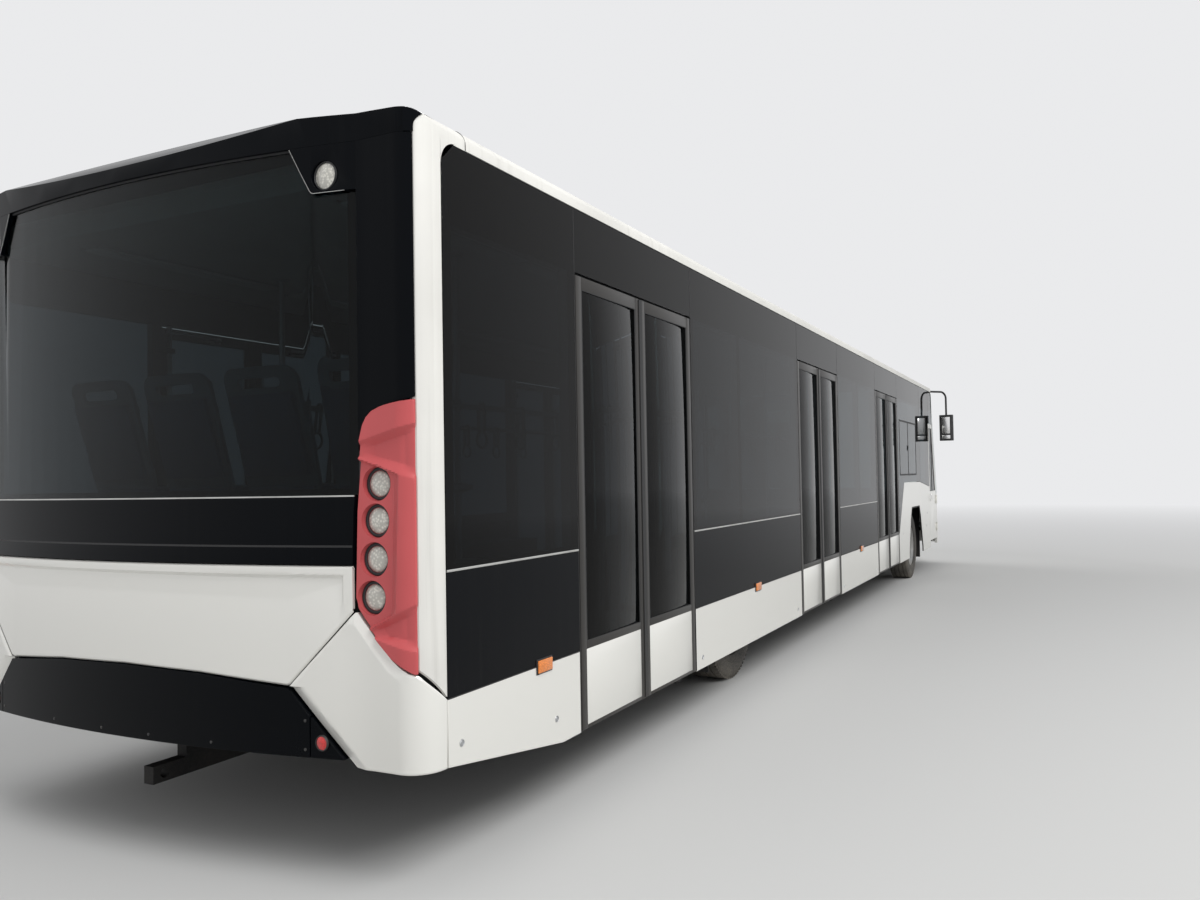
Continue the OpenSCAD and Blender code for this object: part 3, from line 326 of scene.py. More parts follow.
@dataclass(frozen=True)
class Finish(abc.ABC):
    """A surface finish that builds its own material once."""

    name: str
    colour: Colour
    roughness: float = 0.5

    def material(self) -> bpy.types.Material:
        """The finish's material, built when first asked for.

        Returns:
            The Blender material.
        """
        if self.name in bpy.data.materials:
            return bpy.data.materials[self.name]
        made = bpy.data.materials.new(self.name)
        made.use_nodes = True
        made.diffuse_color = (*self.colour, 1.0)
        graph = Graph(made.node_tree)
        shader = graph.add("ShaderNodeBsdfPrincipled", Roughness=self.roughness)
        self.paint(graph, shader)
        graph.add("ShaderNodeOutputMaterial", Surface=shader)
        return made

    @abc.abstractmethod
    def paint(self, graph: Graph, shader: bpy.types.Node) -> None:
        """Feeds the shader's sockets.

        Args:
            graph: the material's graph.
            shader: its Principled shader.
        """

    def mixed(self, graph: Graph, mask: object, other: Colour, base: object = None) -> bpy.types.NodeSocket:
        """The base colour with another laid over it.

        Args:
            graph: the material's graph.
            mask: how much of the other colour shows.
            other: the colour on top.
            base: the colour below, the finish's own when left out.

        Returns:
            The mixed colour.
        """
        node = graph.add("ShaderNodeMix", data_type="RGBA")
        graph.feed(mask, node.inputs[0])
        graph.feed(base or (*self.colour, 1.0), node.inputs[6])
        node.inputs[7].default_value = (*other, 1.0)
        return node.outputs[2]

    def bumped(self, graph: Graph, shader: bpy.types.Node, height: object, depth: float) -> None:
        """Gives the shader a bump.

        Args:
            graph: the material's graph.
            shader: its Principled shader.
            height: the height socket.
            depth: the bump's distance in metres.
        """
        bump = graph.add("ShaderNodeBump", Strength=0.6, Distance=depth, Height=height)
        graph.fill(shader, Normal=bump)


@dataclass(frozen=True)
class Paint(Finish):
    """Sprayed body paint under a clear coat, with dust and water marks."""

    dust: float = 0.35
    streak: float = 0.2
    coat: float = 0.6
    reach: float = 1.0
    gloss: float = 0.5
    dust_colour: Colour = (0.32, 0.28, 0.22)

    def paint(self, graph: Graph, shader: bpy.types.Node) -> None:
        """Lays drift, streaks and dust over the colour.

        Args:
            graph: the material's graph.
            shader: its Principled shader.
        """
        grain = graph.add("ShaderNodeGroup", node_tree=Effects.grain(), Scale=320.0)
        dust = graph.add(
            "ShaderNodeGroup", node_tree=Effects.road_dust(), Amount=self.dust, Reach=self.reach,
        )
        streak = graph.add("ShaderNodeGroup", node_tree=Effects.rain_streaks(), Amount=self.streak)
        darker = tuple(c * 0.86 for c in self.colour)
        base = self.mixed(graph, graph.ramp(grain.outputs["Drift"], 0.35, 0.8), darker)
        base = self.mixed(graph, streak.outputs[0], (0.25, 0.24, 0.21), base)
        base = self.mixed(graph, dust.outputs[0], self.dust_colour, base)
        rough = graph.math("MULTIPLY_ADD", dust.outputs[0], 0.45, self.roughness)
        rough = graph.math("MULTIPLY_ADD", streak.outputs[0], 0.3, rough)
        graph.fill(
            shader, Base_Color=base, Roughness=rough, Specular_IOR_Level=self.gloss,
            Coat_Weight=self.coat, Coat_Roughness=0.04,
        )
        self.bumped(graph, shader, grain.outputs["Height"], 0.00012)


@dataclass(frozen=True)
class Moulded(Finish):
    """Grained plastic or rubber."""

    scale: float = 600.0
    depth: float = 0.0003
    wear: float = 0.25
    dust: float = 0.2

    def paint(self, graph: Graph, shader: bpy.types.Node) -> None:
        """Lays grain, scuffs and dust over the colour.

        Args:
            graph: the material's graph.
            shader: its Principled shader.
        """
        grain = graph.add("ShaderNodeGroup", node_tree=Effects.grain(), Scale=self.scale)
        dust = graph.add("ShaderNodeGroup", node_tree=Effects.road_dust(), Amount=self.dust, Reach=1.2)
        lighter = tuple(min(1.0, c * 1.35 + 0.012) for c in self.colour)
        scuff = graph.math("MULTIPLY", graph.ramp(grain.outputs["Drift"], 0.45, 0.8), self.wear)
        base = self.mixed(graph, scuff, lighter)
        base = self.mixed(graph, dust.outputs[0], (0.3, 0.27, 0.22), base)
        rough = graph.math("MULTIPLY_ADD", scuff, 0.25, self.roughness)
        graph.fill(shader, Base_Color=base, Roughness=rough)
        self.bumped(graph, shader, grain.outputs["Height"], self.depth)


@dataclass(frozen=True)
class Metal(Finish):
    """Bare, cast or galvanised metal with worn patches."""

    grime: Colour = (0.06, 0.05, 0.04)
    amount: float = 0.5
    brush: Point = (60.0, 60.0, 6.0)

    def paint(self, graph: Graph, shader: bpy.types.Node) -> None:
        """Lays brushing and grime over the colour.

        Args:
            graph: the material's graph.
            shader: its Principled shader.
        """
        where = graph.where()
        lines = graph.noise(graph.stretch(where, self.brush), 3.0, 4.0)
        patch = graph.ramp(graph.noise(where, 7.0, 5.0), 0.45, 0.75)
        base = self.mixed(graph, graph.math("MULTIPLY", patch, self.amount), self.grime)
        rough = graph.math("MULTIPLY_ADD", lines, 0.2, self.roughness)
        graph.fill(shader, Base_Color=base, Roughness=rough, Metallic=1.0)
        self.bumped(graph, shader, lines, 0.0002)


@dataclass(frozen=True)
class Glass(Finish):
    """Tinted toughened glass with a breath of dust."""

    ior: float = 1.45
    clear: float = 1.0
    dust: float = 0.25
    streak: float = 0.16

    def paint(self, graph: Graph, shader: bpy.types.Node) -> None:
        """Lays dust and faint water marks on the tinted pane.

        Args:
            graph: the material's graph.
            shader: its Principled shader.
        """
        dust = graph.add("ShaderNodeGroup", node_tree=Effects.road_dust(), Amount=self.dust, Reach=1.6)
        streak = graph.add("ShaderNodeGroup", node_tree=Effects.rain_streaks(), Amount=self.streak)
        mask = graph.math("MAXIMUM", dust.outputs[0], streak.outputs[0])
        base = self.mixed(graph, mask, (0.2, 0.19, 0.17))
        rough = graph.math("MULTIPLY_ADD", mask, 0.2, self.roughness)
        graph.fill(shader, Base_Color=base, Roughness=rough, Transmission_Weight=self.clear, IOR=self.ior)
        self.bumped(graph, shader, graph.noise(graph.where(), 0.9, 1.0), 0.004)


@dataclass(frozen=True)
class Lens(Finish):
    """A moulded lamp lens with small pips behind a clear face."""

    pitch: float = 90.0
    clear: float = 0.35

    def paint(self, graph: Graph, shader: bpy.types.Node) -> None:
        """Lays a honeycomb of pips under the face.

        Args:
            graph: the material's graph.
            shader: its Principled shader.
        """
        cells = graph.add("ShaderNodeTexVoronoi", Vector=graph.where(), Scale=self.pitch)
        pips = graph.ramp(cells.outputs["Distance"], 0.15, 0.6)
        darker = tuple(c * 0.62 for c in self.colour)
        graph.fill(
            shader, Base_Color=self.mixed(graph, pips, darker), Transmission_Weight=self.clear,
            Coat_Weight=1.0, Coat_Roughness=0.03,
        )
        self.bumped(graph, shader, cells.outputs["Distance"], 0.0015)


class Palette:
    """Every finish on the bus, by its plain name."""

    white = Paint("white_paint", (0.76, 0.75, 0.70), 0.36, dust=0.55, reach=0.95, streak=0.22)
    roof = Paint("roof_paint", (0.74, 0.73, 0.69), 0.55, dust=0.05, streak=0.3, coat=0.04, gloss=0.3)
    black = Paint(
        "black_gloss", (0.0015, 0.0022, 0.0035), 0.06, dust=0.006, streak=0.006, coat=0.0, gloss=0.07,
    )
    panel = Paint("lower_black", (0.003, 0.0036, 0.005), 0.2, dust=0.04, streak=0.02, coat=0.0, gloss=0.08)
    frame = Paint("door_frame", (0.026, 0.024, 0.022), 0.36, dust=0.12, streak=0.04, coat=0.1, gloss=0.3)
    chassis = Paint(
        "chassis_paint", (0.012, 0.012, 0.013), 0.6, dust=0.12, streak=0.05, coat=0.0, gloss=0.15,
    )
    glass = Glass("side_glass", (0.05, 0.064, 0.075), 0.012, ior=1.22, dust=0.05, streak=0.02)
    rear_glass = Glass("rear_glass", (0.13, 0.165, 0.175), 0.012, ior=1.22, dust=0.02, streak=0.01)
    front_glass = Glass("front_glass", (0.55, 0.62, 0.60), 0.01, dust=0.1, streak=0.05)
    rubber = Moulded("seal_rubber", (0.014, 0.014, 0.015), 0.6, scale=900.0)
    tyre = Moulded("tyre_rubber", (0.02, 0.02, 0.021), 0.75, scale=420.0, depth=0.0006, dust=0.8, wear=0.5)
    plastic = Moulded("black_plastic", (0.018, 0.018, 0.019), 0.5)
    inside = Moulded("wall_plastic", (0.24, 0.25, 0.26), 0.55, dust=0.0)
    ceiling = Moulded("ceiling_plastic", (0.55, 0.55, 0.53), 0.5, dust=0.0)
    floor = Moulded("floor_vinyl", (0.11, 0.12, 0.13), 0.55, scale=300.0, wear=0.6, dust=0.3)
    seat = Moulded("seat_plastic", (0.075, 0.095, 0.12), 0.42, dust=0.0)
    steel = Metal("bare_steel", (0.55, 0.56, 0.57), 0.28, amount=0.2)
    iron = Metal("cast_iron", (0.16, 0.15, 0.145), 0.55, amount=0.7)
    rim = Paint("rim_paint", (0.30, 0.31, 0.31), 0.45, dust=0.9, streak=0.1, coat=0.1, reach=1.3)
    alu = Metal("aluminium_trim", (0.62, 0.62, 0.60), 0.32, amount=0.25)
    bezel = Paint("lamp_bezel", (0.57, 0.098, 0.103), 0.42, dust=0.03, streak=0.04, coat=0.1, gloss=0.3)
    clear_lens = Lens("clear_lens", (0.80, 0.78, 0.70), 0.12, clear=0.05)
    orange_lens = Lens("orange_lens", (1.0, 0.27, 0.015), 0.25, pitch=160.0, clear=0.0)
    red_lens = Lens("red_lens", (0.85, 0.008, 0.006), 0.2, pitch=160.0, clear=0.0)
    chrome = Metal("bright_metal", (0.8, 0.8, 0.8), 0.08, amount=0.05)
    fabric = Moulded(
        "seat_fabric", (0.05, 0.085, 0.16), 0.85, scale=1400.0, depth=0.0006, wear=0.15, dust=0.0,
    )
    webbing = Moulded("strap_webbing", (0.16, 0.165, 0.17), 0.8, scale=1600.0, depth=0.0004, dust=0.0)
    light_cover = Moulded("light_cover", (0.82, 0.82, 0.79), 0.35, scale=300.0, wear=0.0, dust=0.0)


# Sections and directions

FORWARD: Point = (1.0, 0.0, 0.0)
REARWARD: Point = (-1.0, 0.0, 0.0)
LEFTWARD: Point = (0.0, 1.0, 0.0)
UPWARD: Point = (0.0, 0.0, 1.0)


def taper(foot: float, low: float, head: float, high: float) -> list[Flat]:
    """A section of four corners that narrows or widens upwards.

    Args:
        foot: half its width at its foot.
        low: the height of its foot.
        head: half its width at its head.
        high: the height of its head.

    Returns:
        Its corners in order.
    """
    return [(-foot, low), (foot, low), (head, high), (-head, high)]


def bar(wide: float, tall: float) -> list[Flat]:
    """A rectangular section round its middle, by its half width and half height."""
    return taper(wide, -tall, wide, tall)


class Moulding:
    """Sections of swept trims, as (sideways, upwards) offsets in order."""

    waist_strip: Line = (
        (-0.0045, -0.002), (0.0045, -0.002), (0.0045, 0.002), (0.003, 0.0028), (-0.003, 0.0028),
        (-0.0045, 0.002),
    )
    arch_lip: Line = ((-0.008, -0.008), (0.008, -0.008), (0.008, 0.006), (0.003, 0.008), (-0.008, 0.006))
    slat: Line = ((-0.014, -0.002), (0.010, -0.005), (0.013, 0.0), (0.010, 0.005), (-0.014, 0.003))
    front_lip: Line = ((-0.010, -0.002), (0.003, -0.002), (0.006, 0.012), (0.003, 0.034), (-0.010, 0.034))
    nosing: Line = ((-0.030, -0.001), (0.003, -0.001), (0.003, 0.003), (-0.030, 0.003))
    meeting_edge: Line = ((-0.009, -0.004), (0.009, -0.004), (0.009, 0.03), (0.0, 0.034), (-0.009, 0.03))
    window_seal: Line = ((-0.002, -0.004), (0.012, -0.004), (0.012, 0.004), (-0.002, 0.004))


class Turned:
    """Profiles of turned pieces, as (radius, height) pairs from one end to the other.

    The radii of small_lens and small_rim are shares of the lamp's own.
    """

    upper_lens: Line = (
        (0.0, 0.0), (0.02, -0.001), (0.038, -0.004), (0.0495, -0.008), (0.050, -0.013), (0.0, -0.013),
    )
    upper_ring: Line = (
        (0.0505, -0.012), (0.0505, -0.006), (0.0525, -0.003), (0.056, -0.004), (0.0575, -0.012),
        (0.0505, -0.012),
    )
    reflector: Line = ((0.0, 0.008), (0.02, 0.007), (0.026, 0.004), (0.026, -0.001), (0.0, -0.001))
    reflector_cup: Line = (
        (0.0262, -0.001), (0.0262, 0.006), (0.029, 0.007), (0.031, 0.003), (0.031, -0.001),
        (0.0262, -0.001),
    )
    screw_head: Line = ((0.0, 0.002), (0.003, 0.0022), (0.006, 0.001), (0.0065, -0.001), (0.0, -0.001))
    handle_button: Line = ((0.0, 0.003), (0.007, 0.003), (0.0105, 0.001), (0.011, -0.002), (0.0, -0.002))
    bowl: Line = (
        (0.0, -0.050), (0.018, -0.048), (0.045, -0.036), (0.068, -0.018), (0.080, 0.002), (0.084, 0.002),
        (0.072, -0.022), (0.048, -0.041), (0.018, -0.054), (0.0, -0.055),
    )
    bulb: Line = ((0.0, -0.010), (0.009, -0.014), (0.012, -0.024), (0.012, -0.050), (0.0, -0.050))
    lamp_rim: Line = (
        (0.080, 0.003), (0.083, 0.010), (0.090, 0.012), (0.094, 0.006), (0.094, -0.040), (0.088, -0.040),
        (0.084, -0.002), (0.080, 0.003),
    )
    small_lens: Line = (
        (0.0, 0.014), (0.5, 0.012), (0.85, 0.007), (0.94, 0.001), (0.94, -0.008), (0.0, -0.008),
    )
    small_rim: Line = (
        (0.95, -0.012), (0.95, 0.004), (1.02, 0.008), (1.14, 0.004), (1.16, -0.012), (0.95, -0.012),
    )
    lamp_glass: Line = (
        (0.0, 0.014), (0.03, 0.013), (0.058, 0.010), (0.078, 0.005), (0.082, 0.002), (0.080, 0.0),
        (0.057, 0.006), (0.03, 0.009), (0.0, 0.010),
    )
    wiper_cap: Line = ((0.0, 0.024), (0.012, 0.024), (0.018, 0.018), (0.019, 0.001), (0.0, 0.001))
    rail_clamp: Line = (
        (0.020, -0.03), (0.024, -0.026), (0.024, 0.026), (0.020, 0.03), (0.0172, 0.03), (0.0172, -0.03),
        (0.020, -0.03),
    )
    pole_foot: Line = (
        (0.0172, 0.0), (0.045, 0.0), (0.045, 0.004), (0.024, 0.012), (0.0172, 0.012), (0.0172, 0.0),
    )
    steering_boss: Line = (
        (0.0, 0.030), (0.03, 0.028), (0.055, 0.020), (0.060, 0.0), (0.05, -0.02), (0.0, -0.03),
    )
    dial_ring: Line = ((0.055, 0.0), (0.055, 0.008), (0.062, 0.010), (0.066, 0.0), (0.055, 0.0))
    silencer: Line = ((0.0, 0.0), (0.07, 0.0), (0.082, 0.02), (0.082, 0.42), (0.07, 0.44), (0.0, 0.44))
    quarter_lock: Line = (
        (0.0, 0.0018), (0.0085, 0.0018), (0.010, 0.0005), (0.0115, 0.0005), (0.0125, 0.0026),
        (0.014, 0.0022), (0.0145, -0.001), (0.0, -0.001),
    )
    lens_gasket: Line = (
        (0.0505, -0.004), (0.0505, 0.003), (0.054, 0.006), (0.060, 0.006), (0.063, 0.002),
        (0.063, -0.004), (0.0505, -0.004),
    )
    lens_dome: Line = (
        (0.0, 0.010), (0.018, 0.0095), (0.034, 0.007), (0.046, 0.003), (0.050, -0.001), (0.050, -0.003),
        (0.0, -0.003),
    )


# Shapes


class Shape:
    """A mesh under construction, in the bus's frame."""

    def __init__(self) -> None:
        """Starts empty."""
        self.bm = bmesh.new()

    def box(self, low: Point, high: Point, bevel: float = 0.0, segments: int = 2) -> "Shape":
        """Adds a box.

        Args:
            low: its lowest corner.
            high: its highest corner.
            bevel: how far its edges are rounded.
            segments: the rounding's steps.

        Returns:
            The shape, for further calls.
        """
        size = [abs(b - a) for a, b in zip(low, high)]
        middle = [(a + b) / 2 for a, b in zip(low, high)]
        matrix = Matrix.Translation(middle) @ Matrix.Diagonal((*size, 1.0))
        made = bmesh.ops.create_cube(self.bm, size=1.0, matrix=matrix)
        if bevel:
            edges = list({e for v in made["verts"] for e in v.link_edges})
            self.round(edges, bevel, segments)
        return self

    def round(self, edges: list[bmesh.types.BMEdge], width: float, segments: int = 2) -> None:
        """Rounds edges.

        Args:
            edges: the edges to round.
            width: the rounding's width.
            segments: its steps.
        """
        bmesh.ops.bevel(
            self.bm, geom=edges, offset=width, offset_type="OFFSET", segments=segments,
            profile=0.5, affect="EDGES", clamp_overlap=True, material=-1,
        )

    def rod(
        self, start: Point, end: Point, radius: float, sides: int = 16, tip: float | None = None,
    ) -> "Shape":
        """Adds a round bar or cone between two points.

        Args:
            start: the middle of its foot.
            end: the middle of its head.
            radius: the radius at its foot.
            sides: how many sides its circle has.
            tip: the radius at its head, when it differs.

        Returns:
            The shape, for further calls.
        """
        a, b = Vector(start), Vector(end)
        turn = (b - a).to_track_quat("Z", "Y").to_matrix().to_4x4()
        bmesh.ops.create_cone(
            self.bm, cap_ends=True, segments=sides, radius1=radius,
            radius2=radius if tip is None else tip, depth=(b - a).length,
            matrix=Matrix.Translation((a + b) / 2) @ turn,
        )
        return self

    def lathe(self, profile: Sequence[Flat], centre: Point, axis: Point, steps: int = 48) -> "Shape":
        """Spins a profile of radius and height around an axis.

        Args:
            profile: (radius, height) pairs, from one end to the other.
            centre: the point that height 0 lies at.
            axis: the axis's direction.
            steps: the number of steps round.

        Returns:
            The shape, for further calls.
        """
        turn = Matrix.Translation(centre) @ Vector(axis).to_track_quat("Z", "Y").to_matrix().to_4x4()
        verts = [self.bm.verts.new(turn @ Vector((r, 0.0, h))) for r, h in profile]
        edges = [self.bm.edges.new(pair) for pair in zip(verts, verts[1:])]
        bmesh.ops.spin(
            self.bm, geom=verts + edges, cent=centre, axis=Vector(axis), angle=math.tau,
            steps=steps, use_merge=True, use_duplicate=False,
        )
        return self

    def slab(self, outline: Sequence[Point], push: Point) -> "Shape":
        """Adds a flat outline pushed out into a solid.

        Args:
            outline: its corners in order, all in one plane.
            push: how far and where to the outline goes.

        Returns:
            The shape, for further calls.
        """
        self.push([self.bm.faces.new([self.bm.verts.new(p) for p in outline])], push)
        return self

    def push(self, faces: list[bmesh.types.BMFace], way: Point) -> None:
        """Pushes flat faces out into a solid.

        Args:
            faces: the faces.
            way: how far and where to they go.
        """
        made = bmesh.ops.extrude_face_region(self.bm, geom=faces)
        moved = [g for g in made["geom"] if isinstance(g, bmesh.types.BMVert)]
        bmesh.ops.translate(self.bm, verts=moved, vec=Vector(way))

    def plate(self, outer: Sequence[Point], inners: Sequence[Sequence[Point]], push: Point) -> "Shape":
        """Adds a flat plate with openings.

        Args:
            outer: its outline's corners in order.
            inners: the corners of each opening.
            push: how far and where to the outline goes.

        Returns:
            The shape, for further calls.
        """
        part = Shape()
        edges = []
        for loop in (outer, *inners):
            verts = [part.bm.verts.new(p) for p in loop]
            edges += [part.bm.edges.new((verts[k - 1], verts[k])) for k in range(len(verts))]
        bmesh.ops.triangle_fill(part.bm, use_beauty=True, use_dissolve=False, edges=edges)
        bmesh.ops.dissolve_limit(part.bm, angle_limit=0.01, verts=part.bm.verts, edges=part.bm.edges)
        part.push(part.bm.faces[:], push)
        return self.join(part)

    def join(self, other: "Shape") -> "Shape":
        """Takes in another shape, which is used up.

        Args:
            other: the shape to take in.

        Returns:
            The shape, for further calls.
        """
        mesh = bpy.data.meshes.new("joined")
        other.bm.to_mesh(mesh)
        other.bm.free()
        self.bm.from_mesh(mesh)
        bpy.data.meshes.remove(mesh)
        return self

    def sweep(
        self, path: Sequence[Point], ring: Sequence[Flat], up: Point = UPWARD, closed: bool = False,
    ) -> "Shape":
        """Carries a closed ring of (sideways, upwards) offsets along a path.

        Args:
            path: the points it follows.
            ring: the section's corners, in order.
            up: what the ring's second offset points along.
            closed: whether the path's end joins its start.

        Returns:
            The shape, for further calls.
        """
        points = [Vector(p) for p in path]
        count = len(points)
        rings = []
        for i, here in enumerate(points):
            ahead = points[(i + 1) % count] if closed or i + 1 < count else here
            behind = points[i - 1] if closed or i else here
            along = (ahead - behind).normalized()
            side = along.cross(Vector(up)).normalized()
            top = side.cross(along).normalized()
            bend = 1.0
            if closed or 0 < i < count - 1:
                half_turn = (ahead - here).angle(here - behind, 0.0) / 2
                bend = 1.0 / max(0.5, math.cos(half_turn))
            rings.append([self.bm.verts.new(here + side * (a * bend) + top * b) for a, b in ring])
        pairs = list(zip(rings, rings[1:])) + ([(rings[-1], rings[0])] if closed else [])
        for one, two in pairs:
            for k in range(len(ring)):
                j = (k + 1) % len(ring)
                self.bm.faces.new((one[k], one[j], two[j], two[k]))
        if not closed:
            self.bm.faces.new(rings[0])
            self.bm.faces.new(list(reversed(rings[-1])))
        return self

    def tube(self, path: Sequence[Point], radius: float, sides: int = 10) -> "Shape":
        """Adds a round tube along a path.

        Args:
            path: the points of its middle line.
            radius: its radius.
            sides: its number of sides.

        Returns:
            The shape, for further calls.
        """
        turns = [math.tau * k / sides for k in range(sides)]
        ring = [(radius * math.cos(t), radius * math.sin(t)) for t in turns]
        ways = [(Vector(b) - Vector(a)).normalized() for a, b in zip(path, path[1:])]
        up = UPWARD
        if all(abs(w.z) > 0.9 for w in ways) or any(abs(w.z) > 0.97 for w in ways):
            up = FORWARD if all(abs(w.x) < 0.9 for w in ways) else LEFTWARD
        return self.sweep(path, ring, up)

    def transform(self, matrix: Matrix) -> "Shape":
        """Moves everything made so far.

        Args:
            matrix: the move.

        Returns:
            The shape, for further calls.
        """
        bmesh.ops.transform(self.bm, matrix=matrix, verts=self.bm.verts)
        return self

    def mirrored(self) -> "Shape":
        """Adds the same again on the other side of the bus.

        Returns:
            The shape, for further calls.
        """
        made = bmesh.ops.duplicate(self.bm, geom=self.bm.verts[:] + self.bm.edges[:] + self.bm.faces[:])
        verts = [g for g in made["geom"] if isinstance(g, bmesh.types.BMVert)]
        bmesh.ops.scale(self.bm, vec=(1.0, -1.0, 1.0), verts=verts)
        return self

    def finish(
        self, name: str, look: Finish, slot: str, body: str = "bus",
        angle: float = SHARP_DEGREES, bevel: float = 0.0, replaces: Sequence[str] = (),
    ) -> bpy.types.Object:
        """Turns the shape into a piece that rides a body.

        Args:
            name: the piece's name.
            look: its finish.
            slot: a material slot of the record; not used.
            body: the body it rides.
            angle: edges sharper than this many degrees stay sharp.
            bevel: the width of a Bevel modifier, none at 0.
            replaces: the CAD nodes it stands for.

        Returns:
            The piece.
        """
        bmesh.ops.remove_doubles(self.bm, verts=self.bm.verts, dist=WELD)
        bmesh.ops.recalc_face_normals(self.bm, faces=self.bm.faces)
        mesh = bpy.data.meshes.new(name)
        self.bm.to_mesh(mesh)
        self.bm.free()
        return settle(mesh, name, look, body, angle, bevel, replaces)


def settle(
    mesh: bpy.types.Mesh, name: str, look: Finish, body: str,
    angle: float, bevel: float, replaces: Sequence[str],
) -> bpy.types.Object:
    """Args:
        mesh: the finished mesh, in the bus's frame.
        name: the piece's name.
        look: its finish.
        body: the body it rides.
        angle: edges sharper than this many degrees stay sharp.
        bevel: the width of a Bevel modifier, none at 0.
        replaces: the CAD nodes it stands for.

    Returns:
        The piece.
    """
    mesh.materials.clear()
    mesh.materials.append(look.material())
    mesh.shade_smooth()
    mesh.set_sharp_from_angle(angle=math.radians(angle))
    piece = bpy.data.objects.new(name, mesh)
    bpy.context.scene.collection.objects.link(piece)
    if bevel:
        mod = piece.modifiers.new("round", "BEVEL")
        mod.width = bevel
        mod.segments = 2
        mod.limit_method = "ANGLE"
        mod.angle_limit = math.radians(angle)
        mod.harden_normals = False
        mod.miter_outer = "MITER_ARC"
    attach(piece, body)
    if replaces:
        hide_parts(*replaces)
    LOG.info("%s: %d faces on %s", name, len(mesh.polygons), body)
    return piece


def rounded_copy(
    node: str, look: Finish, bevel: float, body: str = "bus", name: str | None = None,
    keep: Callable[[Vector], bool] | None = None,
) -> bpy.types.Object:
    """A CAD node's own form with its sharp edges rounded.

    Args:
        node: the CAD node it stands for.
        look: its finish.
        bevel: the rounding's width.
        body: the body it rides.
        name: the piece's name, the node's with _form when left out.
        keep: tells which faces stay, by their middle; all when left out.

    Returns:
        The piece.
    """
    bm = bmesh.new()
    bm.from_mesh(frame["nodes"][node].data)
    bmesh.ops.remove_doubles(bm, verts=bm.verts, dist=0.00005)
    if keep:
        gone = [f for f in bm.faces if not keep(f.calc_center_median())]
        bmesh.ops.delete(bm, geom=gone, context="FACES")
    bmesh.ops.dissolve_limit(bm, angle_limit=math.radians(0.4), verts=bm.verts, edges=bm.edges)
    name = name or node + "_form"
    mesh = bpy.data.meshes.new(name)
    bm.to_mesh(mesh)
    bm.free()
    return settle(mesh, name, look, body, SHARP_DEGREES, bevel, (node,))


# Outlines of the body


def rear_x(y: float, depth: float = 0.0) -> float:
    """Where the rear face lies.

    Args:
        y: the distance from the centre line.
        depth: how far inside the outer face.

    Returns:
        The place along the bus.
    """
    y = abs(y)
    corner = HALF - REAR_CORNER_R
    if y <= REAR_HALF:
        return -HL + REAR_R - math.sqrt((REAR_R - depth) ** 2 - y * y)
    if y <= corner:
        return REAR_X + depth
    r = REAR_CORNER_R - depth
    return REAR_X + REAR_CORNER_R - math.sqrt(max(0.0, r * r - (y - corner) ** 2))


def front_x(y: float, depth: float = 0.0) -> float:
    """Where the front face lies below the windscreen.

    Args:
        y: the distance from the centre line.
        depth: how far inside the outer face.

    Returns:
        The place along the bus.
    """
    r = FRONT_R - depth
    return HL - FRONT_R + math.sqrt(r * r - min(abs(y), FRONT_HALF) ** 2)


def rounded_rect(a0: float, b0: float, a1: float, b1: float, r: float, steps: int) -> list[Flat]:
    """The outline of a rectangle with round corners.

    Args:
        a0: its lowest first coordinate.
        b0: its lowest second coordinate.
        a1: its highest first coordinate.
        b1: its highest second coordinate.
        r: the corners' radius.
        steps: the number of steps in each corner.

    Returns:
        Its corners in order.
    """
    points = []
    for k, (a, b) in enumerate(((a1 - r, b1 - r), (a0 + r, b1 - r), (a0 + r, b0 + r), (a1 - r, b0 + r))):
        for t in spread(k * math.pi / 2, (k + 1) * math.pi / 2, steps + 1):
            points.append((a + r * math.cos(t), b + r * math.sin(t)))
    return points


def spread(start: float, end: float, count: int) -> list[float]:
    """Evenly spaced numbers.

    Args:
        start: the first.
        end: the last.
        count: how many.

    Returns:
        The numbers.
    """
    return [start + (end - start) * k / (count - 1) for k in range(count)]


def along(value: float, knots: Sequence[Flat]) -> float:
    """Reads a broken line.

    Args:
        value: where it is read.
        knots: its corners as (where, what), in order.

    Returns:
        What the line gives there, level beyond its ends.
    """
    for (a, p), (b, q) in zip(knots, knots[1:]):
        if value <= b:
            return p + (q - p) * max(0.0, value - a) / (b - a)
    return knots[-1][1]


def corner_point(s: float, depth: float = 0.0) -> Flat:
    """A point of the outline from above, by its length from the centre line.

    Args:
        s: the length along the rear face and round the corner.
        depth: how far inside the outer face.

    Returns:
        Its place along and across the bus.
    """
    corner = HALF - REAR_CORNER_R
    if s <= corner:
        return rear_x(s, depth), s
    centre = REAR_X + REAR_CORNER_R
    turn = (s - corner) / REAR_CORNER_R
    if turn <= math.pi / 2:
        r = REAR_CORNER_R - depth
        return centre - r * math.cos(turn), corner + r * math.sin(turn)
    return centre + s - corner - REAR_CORNER_R * math.pi / 2, HALF - depth


def ease(s: float, width: float = 0.08) -> float:
    """How far a moulding fills the faint crease where the rear face's bow ends.

    Args:
        s: the length along the rear face from the centre line.
        width: how far the fill reaches to each side.

    Returns:
        The height that it adds.
    """
    slope = REAR_HALF / (REAR_R - REAR_BOW)
    return slope / (4 * width) * max(0.0, width - abs(s - REAR_HALF)) ** 2


# Sub-assemblies


